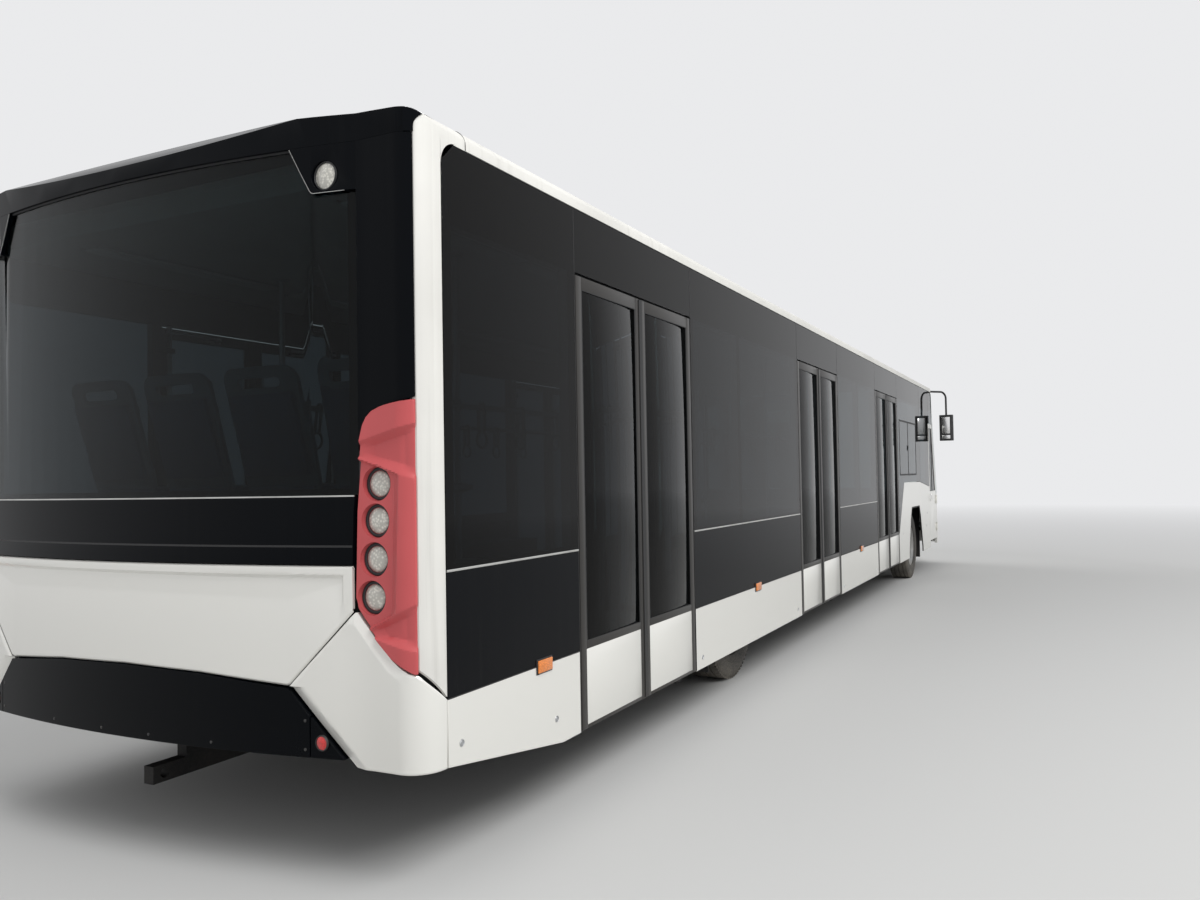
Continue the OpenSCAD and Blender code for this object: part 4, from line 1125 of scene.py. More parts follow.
@dataclass
class Relief:
    """A sculpted moulding over the rear corner, drawn as a height over the body."""

    left: Sequence[Flat]
    right: Sequence[Flat]
    height: Callable[[float, float], float]
    columns: int = 48
    step: float = 0.006
    thick: float = 0.012
    holes: Sequence[tuple[float, float, float]] = ()

    def grid(self, bm: bmesh.types.BMesh) -> None:
        """Lays a flat grid between the two edges, with S as X and Z as Y.

        Args:
            bm: the empty mesh it goes into.
        """
        low, high = self.left[0][0], self.left[-1][0]
        rows = max(2, round((high - low) / self.step))
        bmesh.ops.create_grid(bm, x_segments=self.columns, y_segments=rows, size=0.5)
        for v in bm.verts:
            z = low + (high - low) * (v.co.y + 0.5)
            a, b = along(z, self.left), along(z, self.right)
            v.co = (a + (b - a) * (v.co.x + 0.5), z, 0.0)

    def pierce(self, bm: bmesh.types.BMesh) -> None:
        """Cuts the round holes into the flat grid.

        Args:
            bm: the grid.
        """
        for s, z, r in self.holes:
            centre = Vector((s, z, 0.0))
            for v in bm.verts:
                away = v.co - centre
                if abs(away.length - r) < self.step * 0.72:
                    v.co = centre + away * (r / away.length)
            gone = []
            for face in list(bm.faces):
                far = [(v.co - centre).length - r for v in face.verts]
                if min(far) > -NEAR:
                    continue
                if max(far) <= NEAR:
                    gone.append(face)
                    continue
                rim = [v for v, d in zip(face.verts, far) if abs(d) < NEAR]
                if len(rim) != 2:
                    continue
                other, _ = bmesh.utils.face_split(face, *rim)
                for half in (face, other):
                    if min((v.co - centre).length - r for v in half.verts) < -NEAR:
                        gone.append(half)
            bmesh.ops.delete(bm, geom=gone, context="FACES")
            for v in bm.verts:
                away = v.co - centre
                if 0.0 < away.length < r:
                    v.co = centre + away * (r / away.length)

    def build(self) -> Shape:
        """Makes the moulding on the left side.

        Returns:
            A closed shell.
        """
        shape = Shape()
        self.grid(shape.bm)
        self.pierce(shape.bm)
        front = list(shape.bm.verts)
        rim = [e for e in shape.bm.edges if e.is_boundary]
        twin = bmesh.ops.duplicate(shape.bm, geom=shape.bm.faces[:])["vert_map"]
        for edge in rim:
            a, b = edge.verts
            shape.bm.faces.new((a, b, twin[b], twin[a]))
        for v in front:
            s, z = v.co.x, v.co.y
            rise = self.height(s, z)
            v.co = (*corner_point(s, -rise), z)
            twin[v].co = (*corner_point(s, self.thick - rise), z)
        bmesh.ops.recalc_face_normals(shape.bm, faces=shape.bm.faces)
        return shape


@dataclass(frozen=True)
class Crease:
    """A line across a moulding, and how far the surface stands out on it."""

    s0: float
    z0: float
    s1: float
    z1: float
    height: float

    def at(self, s: float) -> float:
        """The line's height above the ground at S."""
        return self.z0 + (self.z1 - self.z0) * (s - self.s0) / (self.s1 - self.s0)


@dataclass
class LampColumns:
    """The two sculpted tail lamp columns with four round lenses each."""

    edge_left: Line = (
        (0.842, 1.440), (0.850, 1.425), (0.895, 1.350), (0.955, 1.285), (1.035, 1.212), (1.075, 1.182),
        (1.115, 1.171), (1.445, 1.181), (1.700, 1.206), (1.770, 1.222), (1.800, 1.238), (1.822, 1.262),
        (1.840, 1.310), (1.852, 1.380), (1.860, 1.450),
    )
    edge_right: Line = ((0.842, 1.4585), (1.860, 1.4585))
    creases: tuple[Crease, ...] = (
        Crease(1.20, 0.700, 1.46, 0.700, 0.004),
        Crease(1.277, 0.968, 1.447, 0.926, 0.011),
        Crease(1.268, 0.982, 1.446, 0.962, -0.014),
        Crease(1.262, 0.987, 1.445, 1.064, -0.014),
        Crease(1.253, 1.001, 1.444, 1.094, 0.011),
        Crease(1.219, 1.638, 1.463, 1.560, 0.011),
        Crease(1.225, 1.664, 1.463, 1.604, -0.014),
        Crease(1.225, 1.684, 1.465, 1.742, -0.014),
        Crease(1.225, 1.712, 1.466, 1.772, 0.013),
        Crease(1.20, 1.900, 1.46, 1.900, 0.000),
    )
    lenses: Line = ((1.249, 1.116), (1.262, 1.261), (1.270, 1.407), (1.278, 1.547))
    hole_r: float = 0.066
    strip_edge: Flat = (1.350, 1.095)
    strip_slant: float = 0.0385
    rim_r: float = 0.007
    least: float = 0.004
    channel: float = -0.010
    pocket: float = 0.0195

    def height(self, s: float, z: float) -> float:
        """How far the column stands out from the body.

        Args:
            s: the length round the corner.
            z: the height above the ground.

        Returns:
            The distance, negative inside.
        """
        knots = [(c.at(s), c.height) for c in self.creases]
        for k in range(1, len(knots)):
            knots[k] = (max(knots[k][0], knots[k - 1][0] + self.least), knots[k][1])
        height = along(z, knots)
        a, b = along(z, self.edge_left), along(z, self.edge_right)
        if height < 0:
            height *= min(1.0, max(0.0, (s - a - 0.012) / 0.05), max(0.0, (b - s) / 0.045))
        foot, head = knots[4][0], knots[5][0]
        if foot < z < head:
            edge = self.strip_edge[0] + self.strip_slant * (z - self.strip_edge[1])
            shade = along(s, [(edge - 0.006, 1.0), (edge + 0.030, 0.0)])
            shade *= min(1.0, (z - foot) / 0.010, (head - z) / 0.010)
            height += (self.channel - height) * shade
        rim = min(s - a, b - s)
        return height + ease(s) - self.rim_r * max(0.0, 1.0 - rim / self.rim_r) ** 2

    def build(self) -> None:
        """Makes the columns, their bezels, gaskets and lenses."""
        holes = [(s, z, self.hole_r) for s, z in self.lenses]
        column = Relief(self.edge_left, self.edge_right, self.height, holes=holes).build()
        face = REAR_X - self.channel
        gasket, lens = Shape(), Shape()
        r, d = self.hole_r, self.pocket
        for s, z in self.lenses:
            cup = [
                (r - 0.0005, -0.001), (r - 0.003, -d), (0.048, -d), (0.048, -d - 0.004),
                (r + 0.003, -d - 0.004), (r + 0.003, -0.004), (r - 0.0005, -0.001),
            ]
            column.lathe(cup, (face, s, z), REARWARD, 40)
            gasket.lathe(Turned.lens_gasket, (face + d, s, z), REARWARD, 40)
            lens.lathe(Turned.lens_dome, (face + d, s, z), REARWARD, 40)
        column.mirrored().finish(
            "tail_lamp_columns", Palette.bezel, "red_plastic", angle=22.0, replaces=["tail_lamps"],
        )
        gasket.mirrored().finish("tail_lamp_gaskets", Palette.rubber, "red_plastic")
        lens.mirrored().finish("tail_lamp_lenses", Palette.clear_lens, "lamp_plastic", angle=50.0)


@dataclass
class RearFace:
    """The rear end: band, sculpted corner pieces, trims, upper lamps and reflectors."""

    seam_foot: Flat = (0.883, 0.767)
    seam_head: Flat = (1.173, 1.058)
    corner_left: Line = (
        (0.470, 1.165), (0.767, 0.883), (1.058, 1.1725),
    )
    corner_right: Line = (
        (0.470, 1.5785), (0.727, 1.5785), (0.835, 1.4575), (0.840, 1.427), (0.888, 1.342), (0.948, 1.277),
        (1.026, 1.206), (1.058, 1.180),
    )
    corner_head: Line = (
        (1.173, 1.066), (1.206, 1.026), (1.277, 0.948), (1.342, 0.888), (1.427, 0.840), (1.46, 0.835),
        (1.58, 0.73),
    )
    lamp_edging: Line = (
        (0.905, 2.862), (0.952, 2.772), (0.997, 2.690), (1.003, 2.683), (1.012, 2.679), (1.08, 2.679),
        (1.15, 2.679),
    )
    upper_lamp: Flat = (1.062, 2.745)
    reflector: Flat = (1.032, 0.560)
    screws: Line = ((0.955, 0.53), (0.955, 0.64), (0.5, 0.525), (0.15, 0.525))
    band_top: float = 1.235
    joint: float = 0.005
    skin: float = 0.016
    foot_z: float = 0.470
    trims_z: Flat = (1.5025, 1.310)

    def corner_height(self, s: float, z: float) -> float:
        """How far a corner piece stands out from the body.

        Args:
            s: the length round the corner.
            z: the height above the ground.

        Returns:
            The distance, negative inside.
        """
        a, b = along(z, self.corner_left), along(z, self.corner_right)
        slant = (s - a) * 0.71
        top = (along(s, self.corner_head) - z) * 0.75
        deep, wide = (0.022, 0.046) if z < self.seam_foot[1] else (0.006, 0.010)
        drop = deep * max(0.0, 1.0 - slant / wide)
        if s < 1.42:
            drop = max(drop, 0.013 * max(0.0, 1.0 - top / 0.036) * min(1.0, (1.42 - s) / 0.10))
        drop = max(drop, 0.004 * max(0.0, 1.0 - min(top, b - s, z - self.foot_z) / 0.005))
        swell = 0.004 * math.sin(math.pi * min(1.0, max(0.0, (z - self.foot_z) / 0.5)))
        return 0.001 + swell + ease(s) - drop

    def band_height(self, s: float, z: float, low: float) -> float:
        """How far the white band stands out from the body.

        Args:
            s: the length from the centre line.
            z: the height above the ground.
            low: the height of its lower edge there.

        Returns:
            The distance, negative inside.
        """
        top, end = self.band_top - z, self.seam_head[0] - s
        into = min(top - 0.034, end - 0.046)
        field = min(1.0, max(0.0, into / 0.012)) * min(1.0, (z - low) / (self.band_top - low) * 1.4)
        rim = min(top, end, (z - low) * 0.75)
        lip = 0.007 * max(0.0, 1.0 - rim / 0.008) ** 2
        return -0.013 * field + ease(s) - lip

    def band(self) -> None:
        """Makes the white band and the two corner pieces."""
        shape = Shape()
        reach = self.seam_head[0] - self.joint
        foot = [
            (0.0, 0.810), (0.439, 0.800), (self.seam_foot[0] - self.joint, 0.770),
            (reach, self.seam_head[1] + 0.004),
        ]
        bmesh.ops.create_grid(shape.bm, x_segments=180, y_segments=64, size=0.5)
        for v in shape.bm.verts:
            s = abs(v.co.x) * 2 * reach
            sign = 1.0 if v.co.x >= 0 else -1.0
            low = along(s, foot)
            z = low + (self.band_top - low) * (v.co.y + 0.5)
            x, y = corner_point(s, -self.band_height(s, z, low))
            v.co = (x, sign * y, z)
        self.thicken(shape, self.skin)
        shape.finish("rear_band", Palette.white, "white_paint", angle=22.0, replaces=["rear_bumper"])
        edges = (self.corner_left, self.corner_right)
        corner = Relief(*edges, self.corner_height, columns=56, thick=self.skin).build()
        corner.mirrored().finish("rear_corner_pieces", Palette.white, "white_paint", angle=22.0)

    @staticmethod
    def thicken(shape: Shape, thick: float) -> None:
        """Gives a single skin on the rear face its thickness.

        Args:
            shape: the skin.
            thick: how thick it becomes, inwards.
        """
        bmesh.ops.recalc_face_normals(shape.bm, faces=shape.bm.faces)
        if sum(f.normal.x * f.calc_area() for f in shape.bm.faces) > 0:
            bmesh.ops.reverse_faces(shape.bm, faces=shape.bm.faces)
        bmesh.ops.solidify(shape.bm, geom=shape.bm.faces[:], thickness=thick)

    def corner_columns(self) -> None:
        """Makes the round black columns at the corners and the cap's curved edges."""
        left = ((1.702, 1.2005), (2.8645, 1.2005))
        right = (
            (1.702, 1.2015), (1.770, 1.216), (1.800, 1.232), (1.822, 1.256), (1.840, 1.304), (1.852, 1.374),
            (1.8655, 1.4585), (2.8645, 1.4585),
        )
        column = Relief(left, right, lambda s, z: ease(s, 0.05) - 0.0005, columns=40, step=0.012).build()
        side = (
            (2.865, 1.462), (2.885, 1.4625), (2.900, 1.4645), (2.915, 1.473), (2.928, 1.486), (2.938, 1.503),
            (2.945, 1.532), (2.950, 1.580), (2.955, 1.660),
        )
        inner = ((2.865, 1.425), (2.955, 1.425))
        edge = Relief(inner, side, lambda s, z: 0.0045, columns=40, step=0.0025, thick=0.005).build()
        self.fold(edge)
        column.join(edge)
        column.mirrored().finish("rear_corner_columns", Palette.black, "black_panel", angle=25.0)

    @staticmethod
    def fold(edge: Shape) -> None:
        """Lays the cap's curved edge over the roof's round edge.

        Args:
            edge: the curved edge, upright; its outer skin's vertices come first.
        """
        verts = list(edge.bm.verts)
        for k, v in enumerate(verts):
            over = max(0.0, v.co.z - ROOF_EDGE_Z)
            reach = HALF - ROOF_EDGE_R + math.sqrt(max(0.0, ROOF_EDGE_R**2 - over**2))
            v.co.y = min(v.co.y, reach + (0.0016 if k < len(verts) // 2 else -0.0025))

    def follow(self, z: float, reach: float, depth: float, count: int = 41) -> list[Point]:
        """A level line along the rear face.

        Args:
            z: its height.
            reach: how far it goes to each side.
            depth: how far inside the outer face.
            count: its number of points.

        Returns:
            The points.
        """
        return [(rear_x(y, depth), y, z) for y in spread(-reach, reach, count)]

    def trims(self) -> None:
        """Makes the strips below the rear window, its seal and the upper lamps' bright edging."""
        bright, seal = Shape(), Shape()
        high, low = self.trims_z
        for shape, z, reach, tall in ((bright, high, 1.178, 0.0028), (seal, low, 1.168, 0.004)):
            ring = [(-0.003, -tall), (0.004, -tall), (0.004, tall), (-0.003, tall)]
            shape.sweep(self.follow(z, reach, 0.0028), ring)
        bright.finish("rear_trim_strips", Palette.alu, "black_panel")
        seal.sweep(self.follow(2.861, 0.90, 0.014), Moulding.window_seal)
        upright = taper(0.004, -0.003, 0.003, 0.003)
        for s in (-1, 1):
            x, y = rear_x(1.198, 0.012), s * 1.1985
            seal.sweep([(x, y, 1.508), (x, y, 2.676)], upright, FORWARD)
        seal.finish("rear_glass_seal", Palette.rubber, "black_panel")
        edge = Shape()
        line = [(rear_x(y, 0.001), y, z) for y, z in self.lamp_edging]
        edge.sweep(line, taper(0.0008, -0.002, 0.0008, 0.0012), FORWARD)
        edge.mirrored().finish("upper_lamp_edging", Palette.alu, "black_panel")

    def upper_lamps(self) -> None:
        """Makes the two round lamps over the window."""
        y, z = self.upper_lamp
        x = rear_x(y)
        lens, ring = Shape(), Shape()
        lens.lathe(Turned.upper_lens, (x, y, z), REARWARD, 40)
        ring.lathe(Turned.upper_ring, (x, y, z), REARWARD, 40)
        lens.mirrored().finish("upper_lamp_lenses", Palette.clear_lens, "lamp_plastic", angle=50.0)
        ring.mirrored().finish("upper_lamp_rings", Palette.plastic, "black_panel")

    def reflectors(self) -> None:
        """Makes the red round reflectors and the low panel's fasteners."""
        red, cup, screws = Shape(), Shape(), Shape()
        y, z = self.reflector
        x = rear_x(y)
        red.lathe(Turned.reflector, (x, y, z), REARWARD, 32)
        cup.lathe(Turned.reflector_cup, (x, y, z), REARWARD, 32)
        for y, z in self.screws:
            x = rear_x(y)
            screws.lathe(Turned.screw_head, (x, y, z), REARWARD, 16)
        red.mirrored().finish("rear_reflectors", Palette.red_lens, "red_plastic", angle=50.0)
        cup.mirrored().finish("rear_reflector_cups", Palette.plastic, "black_panel")
        screws.mirrored().finish("rear_panel_screws", Palette.plastic, "black_panel")

    def build(self) -> None:
        """Makes the whole rear end."""
        self.band()
        self.corner_columns()
        LampColumns().build()
        self.trims()
        self.upper_lamps()
        self.reflectors()


@dataclass
class SideTrim:
    """What is fixed to the two sides: strips, rubbers, markers, locks and window frames."""

    seam_x: float = -6.505
    fillet_r: float = 0.095
    last_post_x: float = 2.5
    marker_half: Flat = (0.064, 0.034)
    marker_rim: float = 0.006
    roof_ends: Flat = (-6.5, 5.85)
    window: tuple[float, float, float, float] = (3.02, 4.35, 1.52, 2.26)
    door_gap: float = 0.006
    marker_xs: tuple[float, ...] = (-5.98, -3.017, 0.524)
    arch: Line = ((0.602, 0.345), (0.602, 0.42), (0.432, 0.88), (0.332, 1.042))
    locks: Line = (
        (-6.575, 0.543), (-5.879, 0.461), (-4.12, 0.41), (-1.98, 0.41), (-0.30, 0.41), (1.31, 0.41),
        (3.13, 0.72), (5.21, 0.71), (5.34, 0.906),
    )

    def bays(self) -> list[Flat]:
        """Lists the stretches of side between the doorways, behind the front panel.

        Returns:
            The rear and the front end of each, from the rear.
        """
        half = DOOR_W / 2 + self.door_gap
        starts = [PILLAR_X] + [x + half for x in DOOR_XS[:2]]
        return list(zip(starts, [x - half for x in DOOR_XS]))

    def strips(self) -> None:
        """Makes the bright strips at the waist and the rubbers in the joints."""
        alu = Shape()
        for a, b in self.bays():
            alu.sweep([(a, HALF, WAIST_Z), (b, HALF, WAIST_Z)], Moulding.waist_strip, LEFTWARD)
        alu.mirrored().finish("waist_strips", Palette.alu, "dark_glass")
        black = Shape()
        for a, b in self.bays():
            line = [(a, HALF - 0.001, SKIRT_TOP + 0.0025), (b, HALF - 0.001, SKIRT_TOP + 0.0025)]
            black.sweep(line, taper(0.002, -0.004, 0.002, 0.0015), LEFTWARD)
        edge = [(x, HALF - 0.0005, GLASS_TOP - 0.002) for x in spread(*self.roof_ends, 14)]
        black.sweep(edge, taper(0.0035, -0.002, 0.002, 0.003), LEFTWARD)
        jambs = [x + s * (DOOR_W / 2 + 0.0025) for x in DOOR_XS for s in (-1, 1)]
        for x in jambs:
            if x < self.last_post_x:
                post = [(x, HALF - 0.003, z) for z in (0.345, DOOR_TOP + 0.002, GLASS_TOP - 0.004)]
                black.sweep(post, taper(0.0024, -0.006, 0.0024, 0.0032), LEFTWARD)
        black.mirrored().finish("side_joint_rubbers", Palette.rubber, "dark_glass")

    def corner_fillets(self) -> None:
        """Makes the white curve over the side glass's rear corner and the roof edge's seam."""
        r = self.fillet_r
        x0, z0 = PILLAR_X - 0.004, GLASS_TOP + 0.004
        arc = [
            (x0 + r - r * math.sin(a), HALF - 0.0004, z0 - r + r * math.cos(a))
            for a in spread(0.0, math.pi / 2, 13)
        ]
        white = Shape().slab([(x0, HALF - 0.0015, z0), *arc], (0.0, 0.0014, 0.0))
        white.mirrored().finish("pillar_fillets", Palette.roof, "white_paint", bevel=0.0006)
        seam = Shape()
        turn = spread(0.0, 1.2, 9)
        r = ROOF_EDGE_R
        over = [
            (self.seam_x, HALF - r + r * math.cos(t) + 0.0006, ROOF_EDGE_Z + r * math.sin(t))
            for t in turn
        ]
        seam.sweep([(self.seam_x, HALF + 0.0006, GLASS_TOP), *over], bar(0.002, 0.001), FORWARD)
        seam.mirrored().finish("roof_edge_seams", Palette.rubber, "white_paint")

    def markers(self) -> None:
        """Makes the orange side markers with their black seats."""
        seat, lens = Shape(), Shape()
        (wide, tall), rim = self.marker_half, self.marker_rim
        for x in self.marker_xs:
            z0, z1 = SKIRT_TOP - tall, SKIRT_TOP + tall
            seat.box((x - wide, HALF - 0.001, z0), (x + wide, HALF + 0.004, z1), 0.0015)
            low = (x - wide + rim, HALF + 0.003, z0 + rim)
            lens.box(low, (x + wide - rim, HALF + 0.011, z1 - rim), 0.004, 3)
        seat.mirrored().finish("marker_seats", Palette.rubber, "lamp_plastic", replaces=["lamps"])
        lens.mirrored().finish("marker_lenses", Palette.orange_lens, "lamp_plastic", angle=60.0)

    def skirt_locks(self) -> None:
        """Makes the round quarter-turn locks of the skirt panels."""
        lock = Shape()
        for x, z in self.locks:
            lock.lathe(Turned.quarter_lock, (x, HALF, z), LEFTWARD, 28)
            lock.box(
                (x - 0.0065, HALF + 0.0015, z - 0.001), (x + 0.0065, HALF + 0.0028, z + 0.001), 0.0004, 1,
            )
        lock.mirrored().finish("skirt_locks", Palette.steel, "white_paint")

    def wheel_arch(self) -> None:
        """Makes the rubber lip round the front wheel openings."""
        aft = [(FRONT_AXLE_X - dx, HALF - 0.004, z) for dx, z in self.arch]
        line = aft + [(FRONT_AXLE_X + dx, HALF - 0.004, z) for dx, z in reversed(self.arch)]
        lip = Shape().sweep(line, Moulding.arch_lip, LEFTWARD)
        lip.mirrored().finish("wheel_arch_lips", Palette.rubber, "white_paint")

    def side_window(self) -> None:
        """Makes the frame of the sliding window above the front wheel."""
        x0, x1, z0, z1 = self.window
        frame_ring = Shape()
        ring = taper(0.010, -0.001, 0.009, 0.003)
        corners = [(x0, HALF, z0), (x1, HALF, z0), (x1, HALF, z1), (x0, HALF, z1)]
        frame_ring.sweep(corners, ring, LEFTWARD, closed=True)
        middle = (x0 + x1) / 2
        frame_ring.sweep([(middle, HALF, z0 + 0.008), (middle, HALF, z1 - 0.008)], ring, LEFTWARD)
        frame_ring.box((middle - 0.045, HALF + 0.002, 1.86), (middle - 0.015, HALF + 0.010, 1.93), 0.003)
        frame_ring.mirrored().finish("side_window_frames", Palette.rubber, "dark_glass")

    def build(self) -> None:
        """Makes everything on the sides."""
        self.strips()
        self.corner_fillets()
        self.markers()
        self.skirt_locks()
        self.wheel_arch()
        self.side_window()


@dataclass
class CabDoor:
    """A cab door: the white lower part, a black window frame, glass and handle."""

    side: Side
    x0: float = 5.62
    x1: float = 6.30
    z0: float = 0.45
    z1: float = 2.33
    knee: Flat = (6.30, 1.18)
    head_x: float = 6.00
    sill_z: float = 1.242
    hinge: Flat = (6.286, 0.014)
    hinge_zs: Flat = (0.6, 1.05)
    skin_thick: float = 0.036
    grip: Line = (
        (-0.001, 1.186), (0.018, 1.186), (0.024, 1.178), (0.024, 1.104), (0.018, 1.096), (-0.001, 1.096),
    )

    def window(self, inset: float) -> list[Flat]:
        """The outline of the window, in X and Z.

        Args:
            inset: how far inside the pane's edge.

        Returns:
            Its corners.
        """
        aft, low, high = self.x0 + 0.062 + inset, self.sill_z + inset, self.z1 - 0.068 - inset
        fore, head = self.x1 - 0.094 - inset, self.head_x - 0.060 - inset * 0.6
        return [(aft, low), (fore, low), (head, high), (aft, high)]

    def build(self) -> None:
        """Makes the door's pieces, which ride its body."""
        s = self.side.value
        key = self.side.word
        body = "cab_door_" + key
        face = s * HALF
        outwards = (0.0, float(s), 0.0)
        skin = Shape()
        outer = [
            (self.x0, self.z0), (self.x1, self.z0), self.knee, (self.head_x, self.z1), (self.x0, self.z1),
        ]
        hole = [(x, face, z) for x, z in self.window(0.0)]
        skin.plate([(x, face, z) for x, z in outer], [hole], (0.0, -s * self.skin_thick, 0.0))
        x, y = self.hinge[0], face + s * self.hinge[1]
        for z in self.hinge_zs:
            skin.rod((x, y, z), (x, y, z + 0.08), 0.009, 20)
            low, high = (x - 0.008, min(face, y), z + 0.001), (x + 0.008, max(face, y), z + 0.079)
            skin.box(low, high, 0.002)
        skin.finish("cab_door_skin_" + key, Palette.white, "leaf_paint", body, bevel=0.003, replaces=[body])
        glazing = [(x, face - s * 0.004, z) for x, z in self.window(-0.004)]
        pane = Shape().slab(glazing, (0.0, -s * 0.006, 0.0))
        pane.finish("cab_door_glass_" + key, Palette.glass, "dark_glass", body, bevel=0.001)
        trim = Shape()
        ring = taper(0.011, -0.004, 0.009, 0.003)
        y = face - s * 0.001
        trim.sweep([(x, y, z) for x, z in self.window(0.004)], ring, outwards, closed=True)
        aft, fore, *_ = self.window(0.006)
        x = (aft[0] + fore[0]) / 2 - 0.03
        trim.sweep([(x, y, 1.25), (x, y, self.z1 - 0.075)], ring, outwards)
        trim.finish("cab_door_window_rubber_" + key, Palette.rubber, "cab_plastic", body)
        handle = Shape()
        x = self.x0 + 0.05
        handle.tube([(x, face + s * out, z) for out, z in self.grip], 0.0075, 12)
        handle.lathe(Turned.handle_button, (x + 0.05, face, 1.14), outwards, 24)
        handle.finish("cab_door_handle_" + key, Palette.chrome, "pole_steel", body, angle=50.0)


@dataclass
class FrontFace:
    """The front end: headlamps, indicators, grille, display, wipers and mirror glasses."""

    lamp_at: Point = (6.738, 1.08, 0.96)
    small_lamps: tuple[tuple[float, float, float], ...] = ((0.885, 0.96, 0.052), (0.99, 0.52, 0.045))
    slot: tuple[float, float, float] = (0.82, 0.76, 0.84)
    wiper_y: float = 0.42
    lip_z: float = 0.362
    uprights: int = 11
    display_half: float = 0.78
    display_z: Flat = (2.53, 2.755)
    borders: Line = ((1.235, 0.036), (2.80, 0.055))
    mirror_x: float = 6.2685
    mirror_y: Flat = (1.632, 1.768)
    mirror_zs: Line = ((2.185, 2.465), (2.095, 2.165))

    def screen_x(self, y: float, z: float, depth: float = 0.0) -> float:
        """Where the windscreen lies.

        Args:
            y: the distance from the centre line.
            z: the height above the ground.
            depth: how far behind its outer face.

        Returns:
            The place along the bus.
        """
        return front_x(y, depth) - (z - SCREEN_Z) * math.tan(SCREEN_LEAN)

    def headlamps(self) -> None:
        """Makes the bowls, bulbs, rims and lenses of the headlamps and indicators."""
        bowl, rim, glass, amber = Shape(), Shape(), Shape(), Shape()
        x, y, z = self.lamp_at
        bowl.lathe(Turned.bowl, (x, y, z), FORWARD, 48)
        bowl.lathe(Turned.bulb, (x, y, z), FORWARD, 20)
        rim.lathe(Turned.lamp_rim, (x, y, z), FORWARD, 48)
        glass.lathe(Turned.lamp_glass, (x, y, z), FORWARD, 48)
        for y, z, r in self.small_lamps:
            x = front_x(y) - 0.004
            lens = amber if z > 0.9 else glass
            lens.lathe([(r * a, h) for a, h in Turned.small_lens], (x, y, z), FORWARD, 36)
            rim.lathe([(r * a, h) for a, h in Turned.small_rim], (x, y, z), FORWARD, 36)
        bowl.mirrored().finish("headlamp_bowls", Palette.chrome, "lamp_plastic", angle=40.0)
        rim.mirrored().finish("headlamp_rims", Palette.plastic, "lamp_plastic")
        glass.mirrored().finish("headlamp_glasses", Palette.front_glass, "lamp_plastic", angle=50.0)
        amber.mirrored().finish("front_indicators", Palette.orange_lens, "lamp_plastic", angle=50.0)

    def grille(self) -> None:
        """Makes the slats and uprights in the slot of the bumper."""
        slats = Shape()
        reach, low, high = self.slot
        for z in (low + 0.018, (low + high) / 2, high - 0.018):
            path = [(front_x(y, 0.016), y, z) for y in spread(-reach + 0.003, reach - 0.003, 31)]
            slats.sweep(path, Moulding.slat)
        for y in spread(-reach + 0.06, reach - 0.06, self.uprights):
            x = front_x(y, 0.030)
            slats.box((x - 0.006, y - 0.004, low + 0.001), (x + 0.006, y + 0.004, high - 0.001), 0.0015)
        slats.finish("grille_slats", Palette.plastic, "cab_plastic")
        lip = Shape()
        foot = [(front_x(y, 0.0075), y, self.lip_z) for y in spread(-1.14, 1.14, 31)]
        lip.sweep(foot, Moulding.front_lip)
        lip.finish("front_lip", Palette.rubber, "cab_plastic")

    def display(self) -> None:
        """Makes the blank display behind the glass and the black border of the screen."""
        box = Shape()
        x = self.screen_x(0.75, 2.76) - 0.10
        half, (low, high) = self.display_half, self.display_z
        box.box((x - 0.07, -half, low), (x, half, high), 0.008)
        corners = [(x + 0.001, y, z) for y, z in taper(half - 0.06, low + 0.03, half - 0.06, high - 0.03)]
        box.sweep(corners, taper(0.006, -0.002, 0.004, 0.005), FORWARD, closed=True)
        box.finish("front_display", Palette.plastic, "cab_plastic")
        band = Shape()
        lean = (-math.sin(SCREEN_LEAN), 0.0, math.cos(SCREEN_LEAN))
        for z, tall in self.borders:
            path = [(self.screen_x(y, z, 0.0155), y, z) for y in spread(-1.12, 1.12, 31)]
            band.sweep(path, bar(0.001, tall), lean)
        band.finish("screen_border", Palette.plastic, "cab_plastic")

    def wipers(self) -> None:
        """Makes the two wipers with pivots, arms, springs and blades."""
        arm, rubber = Shape(), Shape()
        lean = Matrix.Rotation(-SCREEN_LEAN, 4, "Y")
        for s in (-1, 1):
            foot = Matrix.Translation((front_x(self.wiper_y), s * self.wiper_y, SCREEN_Z)) @ lean
            one, two = Shape(), Shape()
            one.lathe(Turned.wiper_cap, (0.0, 0.0, 0.058), FORWARD, 24)
            root = [(0.014, 0.0, 0.05), (0.017, 0.0, 0.20), (0.016, 0.0, 0.37)]
            one.sweep(root, taper(0.011, -0.004, 0.008, 0.005), FORWARD)
            one.tube([(0.021, 0.006, 0.09), (0.021, 0.006, 0.24)], 0.003, 8)
            back = [(0.010, 0.0, 0.10), (0.013, 0.0, 0.37), (0.010, 0.0, 0.65)]
            one.sweep(back, taper(0.005, -0.002, 0.003, 0.003), FORWARD)
            blade = [(0.004, 0.0, 0.055), (0.004, 0.0, 0.655)]
            two.sweep(blade, taper(0.001, -0.0035, 0.005, 0.004), FORWARD)
            arm.join(one.transform(foot))
            rubber.join(two.transform(foot))
        arm.finish("wiper_arms", Palette.plastic, "cab_plastic", replaces=["wipers"])
        rubber.finish("wiper_blades", Palette.rubber, "cab_plastic")

